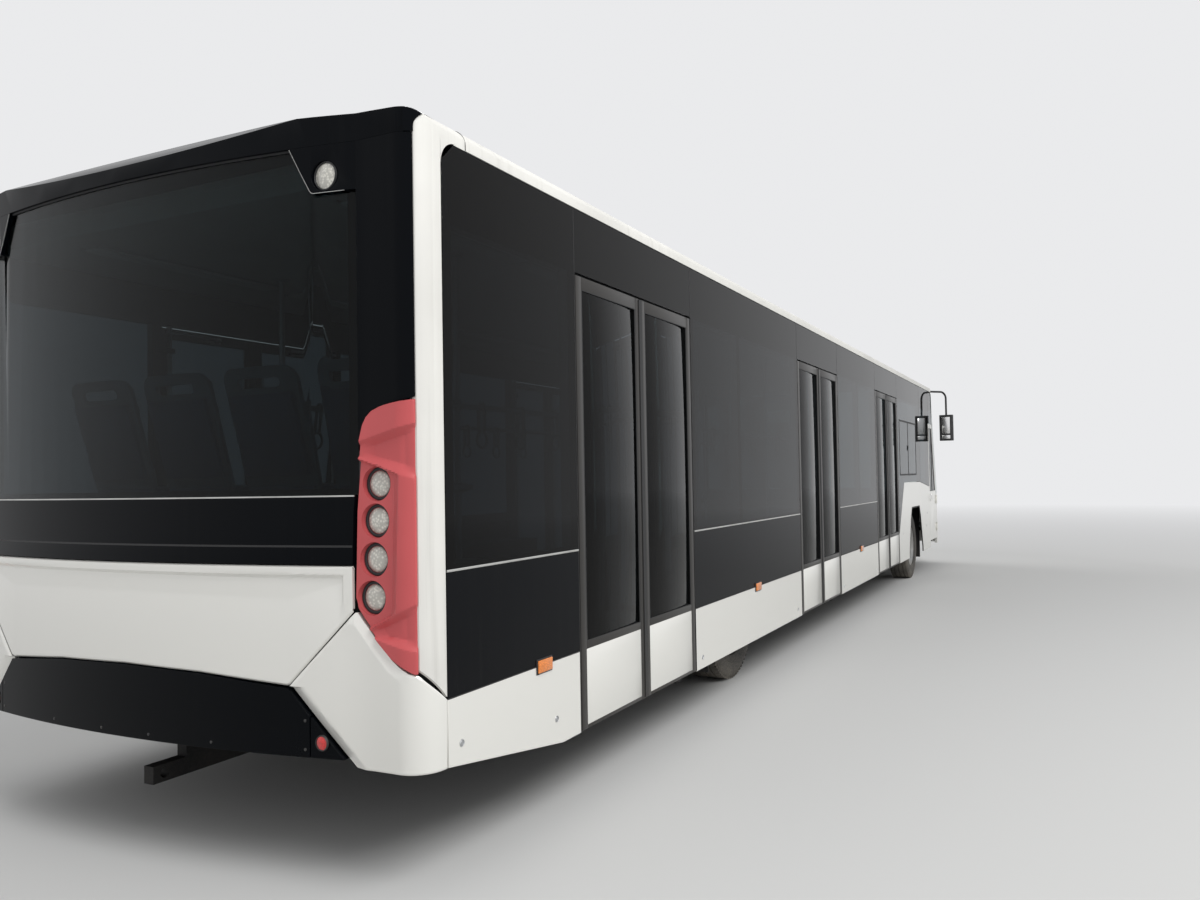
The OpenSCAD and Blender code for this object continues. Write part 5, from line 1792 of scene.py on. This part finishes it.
    def mirror_glasses(self) -> None:
        """Makes the mirrors' glasses and rims, which face the rear."""
        glass, rim = Shape(), Shape()
        x, (y0, y1) = self.mirror_x, self.mirror_y
        for z0, z1 in self.mirror_zs:
            glass.box((6.2668, y0, z0), (6.271, y1, z1), 0.0012)
            path = [(x, y0, z0), (x, y1, z0), (x, y1, z1), (x, y0, z1)]
            rim.sweep(path, bar(0.004, 0.003), REARWARD, closed=True)
        glass.mirrored().finish("mirror_glasses", Palette.chrome, "cab_plastic")
        rim.mirrored().finish("mirror_rims", Palette.rubber, "cab_plastic")

    def build(self) -> None:
        """Makes the whole front end."""
        self.headlamps()
        self.grille()
        self.display()
        self.wipers()
        self.mirror_glasses()


@dataclass
class Seat:
    """One moulded seat with its pads, facing forward."""

    x: float
    y: float
    z: float
    width: float = 0.46
    seat_h: float = 0.42
    back_h: float = 0.52
    driver: bool = False

    def back(self, shape: Shape) -> None:
        """Adds the back shell with its hand hold.

        Args:
            shape: what it is added to.
        """
        w, low, high = self.width / 2, self.seat_h - 0.07, self.seat_h + self.back_h
        outer = rounded_rect(-w, low, w, high, 0.07, 6)
        hold = rounded_rect(-w + 0.10, high - 0.095, w - 0.10, high - 0.050, 0.020, 4)
        part = Shape()
        part.plate([(0.0, y, z) for y, z in outer], [[(0.0, y, z) for y, z in hold]], (0.022, 0.0, 0.0))
        bmesh.ops.subdivide_edges(
            part.bm, edges=[e for e in part.bm.edges if e.calc_length() > 0.2], cuts=3,
            use_grid_fill=False,
        )
        for v in part.bm.verts:
            up = (v.co.z - low) / (high - low)
            v.co.x += 0.115 - 0.155 * up + 0.018 * (v.co.y / w) ** 2
        shape.join(part)

    def pan(self, shape: Shape) -> None:
        """Adds the seat pan with its rolled front edge.

        Args:
            shape: what it is added to.
        """
        h = self.seat_h
        line = [
            (0.085, h - 0.060), (0.20, h - 0.075), (0.34, h - 0.062), (0.42, h - 0.045),
            (0.452, h - 0.052), (0.455, h - 0.075),
        ]
        part = Shape()
        w = self.width / 2
        part.sweep(
            [(x, 0.0, z) for x, z in line],
            [(-w, -0.009), (w, -0.009), (w, 0.020), (w - 0.02, 0.009), (-w + 0.02, 0.009), (-w, 0.020)],
        )
        shape.join(part)

    def pad(self, low: Point, high: Point, crown: float, lean: float) -> Shape:
        """Makes one stuffed pad, crowned between its edges.

        Args:
            low: its lowest corner.
            high: its highest corner.
            crown: how far its middle swells.
            lean: how far its top leans back, per metre of height.

        Returns:
            The pad.
        """
        part = Shape().box(low, high)
        bmesh.ops.subdivide_edges(part.bm, edges=part.bm.edges[:], cuts=9, use_grid_fill=True)
        part.round([e for e in part.bm.edges if e.is_boundary or e.calc_face_angle(0.0) > 1.0], 0.008, 2)
        mid = (Vector(low) + Vector(high)) / 2
        size = (Vector(high) - Vector(low)) / 2
        thin = min(range(3), key=lambda k: size[k])
        for v in part.bm.verts:
            away = v.co - mid
            share = 1.0
            for k in range(3):
                if k != thin:
                    share *= 1.0 - min(1.0, abs(away[k]) / size[k]) ** 3
            if abs(away[thin]) > size[thin] * 0.5:
                v.co[thin] += math.copysign(crown * share, away[thin])
            v.co.x -= lean * (v.co.z - low[2])
        return part

    def build(self, shell: Shape, pads: Shape, legs: Shape) -> None:
        """Adds the seat to the shapes that all seats share.

        Args:
            shell: the moulded shells.
            pads: the stuffed pads.
            legs: the steel feet.
        """
        one, two, three = Shape(), Shape(), Shape()
        h, w = self.seat_h, self.width / 2
        self.back(one)
        self.pan(one)
        two.join(self.pad((0.112, -w + 0.025, h - 0.054), (0.435, w - 0.025, h - 0.030), 0.012, 0.0))
        low, high = (0.088, -w + 0.030, h + 0.02), (0.108, w - 0.030, h + self.back_h - 0.125)
        two.join(self.pad(low, high, 0.010, 0.27))
        for y in (-0.13, 0.13):
            aft = [(0.12, y, h - 0.085), (0.13, y, h - 0.12), (0.20, y, 0.05), (0.20, y, 0.0)]
            fore = [(0.36, y, h - 0.075), (0.35, y, h - 0.11), (0.28, y, 0.05), (0.28, y, 0.0)]
            for leg in (aft, fore):
                three.tube(leg, 0.014, 10)
            three.box((0.16, y - 0.025, 0.0), (0.32, y + 0.025, 0.006), 0.002)
        three.tube([(0.24, -0.13, 0.03), (0.24, 0.13, 0.03)], 0.010, 10)
        if self.driver:
            for s in (-1, 1):
                y = s * (w + 0.025)
                one.sweep(
                    [(0.06, y, h + 0.17), (0.20, y, h + 0.19), (0.34, y, h + 0.185)],
                    taper(0.022, -0.015, 0.018, 0.014),
                )
            top = h + self.back_h
            two.join(self.pad((-0.075, -0.12, top + 0.01), (-0.045, 0.12, top + 0.13), 0.012, 0.1))
            for y in (-0.06, 0.06):
                three.tube([(-0.03, y, top - 0.03), (-0.055, y, top + 0.06)], 0.006, 8)
        move = Matrix.Translation((self.x, self.y, self.z))
        for whole, part in ((shell, one), (pads, two), (legs, three)):
            whole.join(part.transform(move))


@dataclass
class Cabin:
    """The passenger room: seats, rails with straps, floor covering, sills and lights."""

    podium_z: float = 1.15
    podium_edge_x: float = -5.628
    seats_x: float = -6.43
    seat_pitch: float = 0.56
    driver_at: Point = (5.56, 0.76, 0.7005)
    sill_y: float = 1.352
    light_half: float = 0.56
    light_y: Flat = (0.80, 0.92)
    rail_y: float = 0.64
    rail_z: float = 1.96
    rail_ends: Flat = (-5.46, 1.25)
    pole_xs: tuple[float, ...] = (-5.46, -4.32, -2.07, -0.138, 1.25)
    covering: tuple[tuple[Flat, Flat], ...] = (
        ((-5.852, -1.425), (-3.46, 1.425)), ((-3.46, -0.885), (-2.28, 0.885)),
        ((-2.28, -1.425), (3.245, 1.425)),
    )
    strap: Line = (
        (-0.019, -0.13), (-0.019, 0.008), (-0.010, 0.019), (0.010, 0.019), (0.019, 0.008), (0.019, -0.13),
    )

    @property
    def grip_ring(self) -> list[Flat]:
        """The round section of a strap's grip."""
        return [(0.008 * math.cos(t), 0.008 * math.sin(t)) for t in spread(0.0, math.tau * 7 / 8, 8)]

    def seats(self) -> None:
        """Makes the four rear seats and the driver's."""
        shell, pads, legs = Shape(), Shape(), Shape()
        for k in (-1.5, -0.5, 0.5, 1.5):
            Seat(self.seats_x, k * self.seat_pitch, self.podium_z + 0.0005).build(shell, pads, legs)
        Seat(*self.driver_at, driver=True).build(shell, pads, legs)
        shell.finish(
            "seat_shells", Palette.seat, "seat_plastic", angle=40.0, bevel=0.004, replaces=["seats"],
        )
        pads.finish("seat_pads", Palette.fabric, "seat_plastic", angle=60.0)
        legs.finish("seat_feet", Palette.steel, "pole_steel", angle=50.0)

    def rails(self) -> None:
        """Makes the overhead rails, their clamps and the hanging straps."""
        rail, strap, grip = Shape(), Shape(), Shape()
        start, end = self.rail_ends
        for s in (-1, 1):
            y = s * self.rail_y
            rail.tube([(start - 0.05, y, self.rail_z), (end + 0.05, y, self.rail_z)], 0.016, 14)
            for x in self.pole_xs:
                rail.lathe(Turned.rail_clamp, (x, y, self.rail_z), UPWARD, 20)
                for z, turn in ((FLOOR_Z + 0.003, 1.0), (CEILING_Z - 0.001, -1.0)):
                    rail.lathe(Turned.pole_foot, (x, y, z), (0.0, 0.0, turn), 24)
            for x in spread(start + 0.22, end - 0.22, 17):
                if min(abs(x - p) for p in self.pole_xs) < 0.09:
                    continue
                z = self.rail_z
                loop = [(x, y + dy, z + dz) for dy, dz in self.strap]
                strap.sweep(loop, bar(0.0125, 0.001), FORWARD)
                turns = [(math.sin(t), math.cos(t)) for t in spread(0.0, math.tau * 15 / 16, 16)]
                ring = [
                    (x + 0.045 * a, y, z - 0.185 + 0.052 * b * (1.0 if b > 0 else 0.75))
                    for a, b in turns
                ]
                grip.sweep(ring, self.grip_ring, LEFTWARD, closed=True)
                grip.rod((x, y - 0.02, z - 0.132), (x, y + 0.02, z - 0.132), 0.006, 8)
        rail.finish("overhead_rails", Palette.steel, "pole_steel", angle=50.0)
        strap.finish("hand_straps", Palette.webbing, "cab_plastic")
        grip.finish("strap_grips", Palette.plastic, "cab_plastic", angle=60.0)

    def linings(self) -> None:
        """Makes the floor covering, door sills, ceiling lights and the podium's edge."""
        floor = Shape()
        z = FLOOR_Z + 0.0003
        for low, high in self.covering:
            floor.box((*low, z), (*high, z + 0.0025), 0.0008, 1)
        floor.finish("floor_covering", Palette.floor, "floor_plastic")
        sill = Shape()
        for x in DOOR_XS:
            for k in range(7):
                y = self.sill_y + 0.011 * k
                sill.box((x - 0.69, y, z + 0.002), (x + 0.69, y + 0.007, z + 0.006), 0.0015, 1)
        sill.mirrored().finish("door_sills", Palette.alu, "floor_plastic")
        lights, channel = Shape(), Shape()
        (low, high), long = self.light_y, self.light_half
        for x in spread(-5.9, 3.3, 8):
            lights.box((x - long, low, CEILING_Z - 0.018), (x + long, high, CEILING_Z - 0.003), 0.005, 3)
            for y0, y1 in ((0.78, low), (high, 0.94)):
                channel.box((x - 0.58, y0, CEILING_Z - 0.008), (x + 0.58, y1, CEILING_Z - 0.0005), 0.001)
        lights.mirrored().finish("ceiling_lights", Palette.light_cover, "lamp_plastic")
        channel.mirrored().finish("ceiling_light_frames", Palette.alu, "lamp_plastic")
        edge = Shape()
        line = [(self.podium_edge_x, y, self.podium_z + 0.0005) for y in (-1.40, 1.40)]
        edge.sweep(line, Moulding.nosing)
        edge.finish("podium_nosing", Palette.alu, "floor_plastic")

    def build(self) -> None:
        """Makes everything in the passenger room."""
        self.seats()
        self.rails()
        self.linings()


@dataclass
class DriverPlace:
    """The driver's controls: wheel, binnacle, switches and the partition behind the seat."""

    wheel_at: Point = (6.21, 0.76, 1.24)
    wheel_r: float = 0.21
    binnacle: tuple[Flat, Flat] = ((6.36, 1.150), (6.50, 1.285))
    dials: Point = (6.361, 0.09, 1.222)
    keys: int = 6
    partition_x: Flat = (3.211, 3.217)
    partition_z: Flat = (1.356, 2.70)
    partition_ys: Line = ((-1.372, -0.034), (0.034, 1.372))

    def build(self) -> None:
        """Makes the steering wheel, the binnacle and the partition's glass."""
        x, y, z = self.wheel_at
        rounded_copy("cab_fittings", Palette.plastic, 0.005)
        boss = Shape()
        boss.lathe(Turned.steering_boss, (x, y, z), UPWARD, 32)
        for turn in (0.0, math.tau / 3, 2 * math.tau / 3):
            end = (x + self.wheel_r * math.cos(turn), y + self.wheel_r * math.sin(turn), z)
            boss.sweep([(x, y, z), end], taper(0.016, -0.014, 0.012, 0.0145))
        boss.finish("steering_boss", Palette.plastic, "cab_plastic")
        dials = Shape()
        (x0, z0), (x1, z1) = self.binnacle
        dials.box((x0, y - 0.20, z0), (x1, y + 0.20, z1), 0.02, 3)
        x, apart, z = self.dials
        for dy in (-apart, apart):
            dials.lathe(Turned.dial_ring, (x, y + dy, z), REARWARD, 32)
        for k in range(self.keys):
            dials.box((6.352, y - 0.165 + 0.06 * k, 1.158), (6.362, y - 0.135 + 0.06 * k, 1.172), 0.002)
        dials.finish("binnacle", Palette.plastic, "cab_plastic")
        glass = Shape()
        (x0, x1), (z0, z1) = self.partition_x, self.partition_z
        for y0, y1 in self.partition_ys:
            glass.box((x0, y0, z0), (x1, y1, z1), 0.0015)
        glass.finish("partition_glass", Palette.front_glass, "dark_glass")


@dataclass
class Underbody:
    """Air tanks, pipes, exhaust and mud flaps below the floor."""

    tank_xs: tuple[float, ...] = (-4.35, -4.62, 0.55)
    tank_z: float = 0.30
    tank_half: Line = ((0.0, 0.31), (0.033, 0.306), (0.056, 0.292), (0.066, 0.262))
    strap_ys: Flat = (-0.18, 0.18)
    strap_r: float = 0.067
    pipe_y: float = 0.608
    pipe_z: float = 0.345
    flap_y: Flat = (0.985, 1.245)
    flap_z: Flat = (0.15, 0.74)

    def tanks(self) -> None:
        """Makes the air tanks under the floor and their straps."""
        tank, strap = Shape(), Shape()
        z = self.tank_z
        bulge = [(r, -h) for r, h in self.tank_half] + [(r, h) for r, h in reversed(self.tank_half)]
        turn = spread(-math.pi, math.pi * 7 / 8, 16)
        for x in self.tank_xs:
            tank.lathe(bulge, (x, 0.0, z), LEFTWARD, 36)
            for y in self.strap_ys:
                band = [(x + self.strap_r * math.cos(t), y, z + self.strap_r * math.sin(t)) for t in turn]
                strap.sweep(band, bar(0.014, 0.001), LEFTWARD, closed=True)
        tank.finish("air_tanks", Palette.chassis, "frame_paint", angle=50.0)
        strap.finish("air_tank_straps", Palette.steel, "pole_steel")

    def pipes(self) -> None:
        """Makes the brake pipes along the rails and the exhaust."""
        pipe = Shape()
        for k in range(3):
            y = self.pipe_y - 0.016 * k
            pipe.tube([(x, y, self.pipe_z) for x in (-5.4, -3.1, -2.6, 3.2)], 0.005, 8)
        pipe.finish("brake_pipes", Palette.steel, "pole_steel", angle=50.0)
        exhaust = Shape()
        exhaust.tube([(4.95, -0.50, 0.30), (4.80, -0.50, 0.30), (4.70, -0.52, 0.29)], 0.040, 16)
        exhaust.lathe(Turned.silencer, (4.98, -0.44, 0.30), FORWARD, 28)
        exhaust.finish("exhaust", Palette.iron, "axle_iron", angle=50.0)

    def flaps(self) -> None:
        """Makes the mud flaps behind the rear wheels with their ribs."""
        flap = Shape()
        x = REAR_AXLE_X - 0.53
        (y0, y1), (z0, z1) = self.flap_y, self.flap_z
        flap.box((x - 0.004, y0, z0), (x + 0.004, y1, z1), 0.002)
        for k in range(9):
            y = 1.0 + 0.029 * k
            flap.box((x - 0.007, y, z0 + 0.02), (x - 0.003, y + 0.010, z1 - 0.14), 0.001, 1)
        flap.mirrored().finish("mud_flaps", Palette.rubber, "frame_paint")

    def build(self) -> None:
        """Makes everything below the floor."""
        self.tanks()
        self.pipes()
        self.flaps()


@dataclass
class Panels:
    """Body panels whose CAD form is right, with their edges rounded."""

    table: dict[str, tuple[Finish, float]] = field(
        default_factory=lambda: {
            "roof": (Palette.roof, 0.004),
            "skirt_panels": (Palette.white, 0.003),
            "lower_panels": (Palette.panel, 0.002),
            "rear_cap": (Palette.black, 0.012),
            "front_bumper": (Palette.white, 0.006),
            "side_glazing": (Palette.glass, 0.0015),
            "rear_window": (Palette.rear_glass, 0.0015),
            "windscreen": (Palette.front_glass, 0.0015),
            "mirrors": (Palette.plastic, 0.006),
        }
    )
    plain: dict[str, Finish] = field(
        default_factory=lambda: {
            "chassis": Palette.chassis,
            "front_axle": Palette.iron,
            "rear_axle": Palette.iron,
            "engine": Palette.iron,
            "podium": Palette.floor,
            "grab_poles": Palette.steel,
            "knuckle_left": Palette.iron,
            "knuckle_right": Palette.iron,
        }
    )

    sill_y: float = 1.4
    column_z: float = 1.7

    def behind(self, p: Vector) -> bool:
        """Whether a face of the rear panels stays: all but the upper corner columns."""
        return abs(p.y) < REAR_HALF or p.z < self.column_z

    def build(self) -> None:
        """Makes the rounded panels and dresses the nodes that stay."""
        for node, (look, bevel) in self.table.items():
            rounded_copy(node, look, bevel)
        frame_copy = rounded_copy("body_frame", Palette.chassis, 0.0)
        for v in frame_copy.data.vertices:
            if v.co.x < SKIRT_BEND_X and v.co.z < FLOOR_Z + 0.01 and abs(v.co.y) > self.sill_y:
                rise = SKIRT_LIFT * (SKIRT_BEND_X - v.co.x) / (SKIRT_BEND_X - PILLAR_X)
                v.co.z = max(v.co.z, SKIRT_BOT + 0.005 + rise)
        rounded_copy("rear_panels", Palette.black, 0.003, keep=self.behind)
        for node, look in self.plain.items():
            dress(node, look)


def dress(node: str, look: Finish) -> None:
    """Gives a CAD node that stays its finish.

    Args:
        node: the node's name.
        look: its finish.
    """
    data = frame["nodes"][node].data
    data.materials.clear()
    data.materials.append(look.material())


@dataclass
class DoorLeaf:
    """One leaf of a passenger doorway, with its glass, seals and lower panel."""

    index: int
    side: Side
    end: End
    gap: float = 0.008
    thick: float = 0.040
    stile: float = 0.075
    meeting: float = 0.090
    head: float = 0.065
    pivot: Flat = (0.41, 0.062)
    edge_r: float = 0.003
    eye_r: float = 0.016
    arm_z: float = 0.6

    @property
    def key(self) -> str:
        """The leaf's name after its kind."""
        return f"{self.side.word}_{self.index}_{self.end.word}"

    @property
    def width(self) -> float:
        """The leaf's width."""
        return DOOR_W / 2 - self.gap - 0.003

    def place(self) -> Matrix:
        """The move from the jamb's U, V and Z to the bus.

        Returns:
            The matrix.
        """
        jamb = DOOR_XS[self.index - 1] - self.end.value * DOOR_W / 2
        turn = Matrix.Diagonal((self.end.value, -self.side.value, 1.0, 1.0))
        return Matrix.Translation((jamb, self.side.value * HALF, 0.0)) @ turn

    def frame_ring(self, shape: Shape, low: Flat, high: Flat, inset: Sequence[float]) -> None:
        """Adds an upright frame with an opening.

        Args:
            shape: what it is added to.
            low: its lower corner in U and Z.
            high: its upper corner in U and Z.
            inset: the widths at the jamb, the meeting edge, the foot and the head.
        """
        u0, z0 = low
        u1, z1 = high
        a, b, c, d = inset
        v0, v1 = 0.0004, self.thick - 0.0004
        shape.box((u0, 0.0, z0), (u0 + a, self.thick, z1), self.edge_r)
        shape.box((u1 - b, 0.0, z0), (u1, self.thick, z1), self.edge_r)
        shape.box((u0 + a - 0.004, v0, z0), (u1 - b + 0.004, v1, z0 + c), self.edge_r)
        shape.box((u0 + a - 0.004, v0, z1 - d), (u1 - b + 0.004, v1, z1), self.edge_r)

    def build(self) -> None:
        """Makes the leaf's pieces, which ride its body."""
        body = "leaf_" + self.key
        u0, u1 = self.gap, self.gap + self.width
        foot, head = SKIRT_BOT + 0.005, DOOR_TOP - self.gap
        move = self.place()
        ring = Shape()
        inset = (self.stile - 0.02, self.meeting - 0.035, 0.02, self.head)
        self.frame_ring(ring, (u0, foot), (u1, head), inset)
        rail_top = (u1 - 0.03, self.thick - 0.0005, SKIRT_TOP + 0.04)
        ring.box((u0 + 0.03, 0.0005, SKIRT_TOP), rail_top, self.edge_r)
        (u, v), r = self.pivot, self.eye_r
        for z in (self.arm_z, head - 0.042):
            ring.box((u - r, self.thick - 0.001, z - 0.02), (u + r, v, z - 0.002), 0.001)
            ring.rod((u, v, z - 0.02), (u, v, z - 0.002), r)
        name = "door_frame_" + self.key
        ring.transform(move).finish(name, Palette.frame, "leaf_paint", body, replaces=[body])
        lower = Shape()
        lower.box((u0 + 0.045, 0.001, foot + 0.012), (u1 - 0.045, 0.030, SKIRT_TOP + 0.003), 0.004)
        lower.transform(move).finish("door_lower_panel_" + self.key, Palette.white, "leaf_paint", body)
        pane = Shape()
        pane.box((u0 + 0.05, 0.005, SKIRT_TOP + 0.035), (u1 - 0.05, 0.011, head - self.head + 0.012), 0.001)
        pane.transform(move).finish("door_glass_" + self.key, Palette.glass, "leaf_paint", body)
        seal = Shape()
        a, b = u0 + self.stile - 0.021, u1 - self.meeting + 0.036
        c, d = SKIRT_TOP + 0.039, head - self.head + 0.001
        corners = [(a, 0.004, c), (b, 0.004, c), (b, 0.004, d), (a, 0.004, d)]
        seal.sweep(corners, taper(0.007, -0.003, 0.006, 0.003), LEFTWARD, closed=True)
        edge = [(u1 - 0.006, 0.0, z) for z in spread(foot + 0.004, head - 0.004, 2)]
        seal.sweep(edge, Moulding.meeting_edge, LEFTWARD)
        seal.transform(move).finish("door_seals_" + self.key, Palette.rubber, "leaf_paint", body)


@dataclass
class Doorways:
    """All passenger doors with their arms."""

    def build(self) -> None:
        """Makes each leaf and dresses each arm."""
        for side in Side:
            for index in (1, 2, 3):
                for end in End:
                    leaf = DoorLeaf(index, side, end)
                    leaf.build()
                    rounded_copy("arm_" + leaf.key, Palette.steel, 0.002, "arm_" + leaf.key)


@dataclass
class Wheel:
    """One wheel: a tyre with its tread, the rim and its nuts."""

    end: str
    side: Side
    grooves: int = 72
    nuts: int = 10
    nut_circle: float = 0.1675
    bead: Line = (
        (0.002, 0.03), (0.012, 0.014), (0.03, 0.008), (0.06, 0.003), (0.064, 0.006), (0.09, 0.003),
    )
    shoulder: Line = (
        (0.07, 0.001), (0.045, 0.006), (0.03, 0.012), (0.012, 0.024), (0.003, 0.038), (0.0, 0.052),
    )
    groove_ys: tuple[float, ...] = (-0.062, 0.0, 0.062)
    groove_deep: float = 0.012

    @property
    def key(self) -> str:
        """The wheel's name after its kind."""
        return f"{self.end}_{self.side.word}"

    def build(self) -> None:
        """Makes the tyre and the nuts and rounds the rim."""
        x = FRONT_AXLE_X if self.end == "front" else REAR_AXLE_X
        s = self.side.value
        y = s * TRACKS[self.end]
        body, name = "wheel_" + self.key, "tyre_" + self.key
        half = TYRE_W / 2
        r = TYRE_R
        profile = [(RIM_R + a, b - half) for a, b in self.bead]
        profile += [(r - a, b - half) for a, b in self.shoulder]
        low = r - self.groove_deep
        tread = []
        for mid in self.groove_ys:
            tread += [(r, mid - 0.008), (low, mid - 0.005), (low, mid + 0.005), (r, mid + 0.008)]
        full = profile + tread + [(a, -b) for a, b in reversed(profile)]
        full += [(RIM_R - 0.004, half - 0.05), (RIM_R - 0.004, -half + 0.05), full[0]]
        tyre = Shape()
        tyre.lathe(full, (x, y, TYRE_R), LEFTWARD, 96)
        for k in range(self.grooves):
            turn = Matrix.Translation((x, y, TYRE_R)) @ Matrix.Rotation(math.tau * k / self.grooves, 4, "Y")
            for sign in (-1, 1):
                v = sign * (half - 0.036)
                block = Shape().box((-0.011, v - 0.019, r - 0.016), (0.011, v + 0.019, r - 0.0005), 0.002, 1)
                tyre.join(block.transform(turn))
        tyre.finish(name + "_tread", Palette.tyre, "tyre", body, angle=25.0, replaces=[name])
        rounded_copy("rim_" + self.key, Palette.rim, 0.0015, body)
        nuts = Shape()
        offset = 0.5 if self.side is Side.RIGHT else 0.0
        for k in range(self.nuts):
            a = math.tau * (k + offset) / self.nuts
            px, pz = x + self.nut_circle * math.cos(a), TYRE_R - self.nut_circle * math.sin(a)
            nuts.rod((px, y + s * 0.043, pz), (px, y + s * 0.049, pz), 0.021, 20)
            nuts.rod((px, y + s * 0.049, pz), (px, y + s * 0.066, pz), 0.0165, 6)
        nuts.finish("wheel_nuts_" + self.key, Palette.steel, "rim_steel", body)


@dataclass
class Wheels:
    """The four wheels."""

    def build(self) -> None:
        """Makes each wheel."""
        for end in TRACKS:
            for side in Side:
                Wheel(end, side).build()


# The studio


@dataclass
class Studio:
    """Pale floor, soft lamps and the camera at the photograph's place."""

    camera_at: Point = (-9.430, -3.685, 1.553)
    yaw: float = math.radians(24.65)
    pitch: float = math.radians(1.42)
    roll: float = math.radians(-1.08)
    focal_px: float = 903.3
    principal: Flat = (662.9, 454.4)
    picture: Flat = (1200.0, 900.0)
    floor_colour: Colour = (0.62, 0.62, 0.61)
    back_colour: Colour = (0.98, 0.985, 1.0)
    back_light: float = 0.84
    room_light: float = 0.62
    fade: Flat = (7.0, 26.0)
    sensor: float = 36.0
    lamps: tuple[tuple[str, Point, Point, float, float], ...] = (
        ("key", (-9.0, -11.0, 12.0), (-2.0, 0.0, 1.0), 8.0, 1600.0),
        ("fill", (8.0, 12.0, 10.0), (0.0, 0.0, 1.0), 10.0, 900.0),
    )

    def camera(self) -> None:
        """Sets the camera from the fit to the photograph."""
        cy, sy, cp, sp = math.cos(self.yaw), math.sin(self.yaw), math.cos(self.pitch), math.sin(self.pitch)
        ahead = Vector((cy * cp, sy * cp, sp))
        level = Vector((sy, -cy, 0.0))
        above = level.cross(ahead)
        right = math.cos(self.roll) * level + math.sin(self.roll) * above
        up = -math.sin(self.roll) * level + math.cos(self.roll) * above
        data = bpy.data.cameras.new("camera")
        data.sensor_width = self.sensor
        data.sensor_fit = "HORIZONTAL"
        data.lens = self.sensor * self.focal_px / self.picture[0]
        data.shift_x = (self.picture[0] / 2 - self.principal[0]) / self.picture[0]
        data.shift_y = (self.principal[1] - self.picture[1] / 2) / self.picture[0]
        data.clip_end = 200.0
        camera = bpy.data.objects.new("camera", data)
        turn = Matrix((right, up, -ahead)).transposed().to_4x4()
        camera.matrix_world = Matrix.Translation(self.camera_at) @ turn
        bpy.context.scene.collection.objects.link(camera)
        bpy.context.scene.camera = camera

    def floor(self) -> None:
        """Lays the pale floor."""
        mesh = bpy.data.meshes.new("floor")
        bm = bmesh.new()
        bmesh.ops.create_grid(bm, x_segments=1, y_segments=1, size=90.0)
        bm.to_mesh(mesh)
        bm.free()
        floor = bpy.data.objects.new("floor", mesh)
        bpy.context.scene.collection.objects.link(floor)
        made = bpy.data.materials.new("floor_paper")
        made.use_nodes = True
        graph = Graph(made.node_tree)
        shader = graph.add(
            "ShaderNodeBsdfPrincipled", Roughness=0.9, Base_Color=(*self.floor_colour, 1.0),
            Specular_IOR_Level=0.1,
        )
        glow = graph.add("ShaderNodeEmission", Strength=self.back_light, Color=(*self.back_colour, 1.0))
        away = graph.add("ShaderNodeVectorMath", operation="LENGTH")
        graph.feed(graph.stretch(graph.where(), (0.75, 1.0, 1.0)), away.inputs[0])
        share = graph.math("POWER", graph.ramp(away.outputs["Value"], *self.fade), 0.7)
        faded = graph.add("ShaderNodeMixShader")
        graph.feed(share, faded.inputs[0])
        graph.feed(shader, faded.inputs[1])
        graph.feed(glow, faded.inputs[2])
        graph.add("ShaderNodeOutputMaterial", Surface=faded)
        mesh.materials.append(made)

    def world(self) -> None:
        """Fills the room with plain pale light."""
        world = bpy.data.worlds.new("studio")
        world.use_nodes = True
        graph = Graph(world.node_tree)
        path = graph.add("ShaderNodeLightPath")
        seen = graph.math("MAXIMUM", path.outputs["Is Camera Ray"], path.outputs["Is Transmission Ray"])
        seen = graph.math("MAXIMUM", seen, path.outputs["Is Glossy Ray"])
        strength = graph.math("MULTIPLY_ADD", seen, self.back_light - self.room_light, self.room_light)
        back = graph.add("ShaderNodeBackground", Strength=strength, Color=(*self.back_colour, 1.0))
        graph.add("ShaderNodeOutputWorld", Surface=back)
        bpy.context.scene.world = world

    def lamp(self, name: str, place: Point, aim: Point, size: float, power: float) -> None:
        """Hangs one soft lamp.

        Args:
            name: its name.
            place: where it hangs.
            aim: what it points at.
            size: its width.
            power: its power in watts.
        """
        data = bpy.data.lights.new(name, "AREA")
        data.shape = "SQUARE"
        data.size = size
        data.energy = power
        lamp = bpy.data.objects.new(name, data)
        lamp.location = place
        lamp.rotation_euler = (Vector(aim) - Vector(place)).to_track_quat("-Z", "Y").to_euler()
        bpy.context.scene.collection.objects.link(lamp)

    def build(self) -> None:
        """Sets up the whole studio."""
        self.camera()
        self.floor()
        self.world()
        for lamp in self.lamps:
            self.lamp(*lamp)
        bpy.context.scene.view_settings.view_transform = "Standard"


def main() -> None:
    """Builds every sub-assembly in order."""
    logging.basicConfig(level=logging.INFO, format="%(name)s: %(message)s")
    parts: Iterable[object] = (
        Studio(), Panels(), RearFace(), SideTrim(), CabDoor(Side.RIGHT), CabDoor(Side.LEFT), FrontFace(),
        Doorways(), Cabin(), DriverPlace(), Underbody(), Wheels(),
    )
    for part in parts:
        LOG.info("building %s", type(part).__name__)
        part.build()


if __name__ == "__main__":
    main()
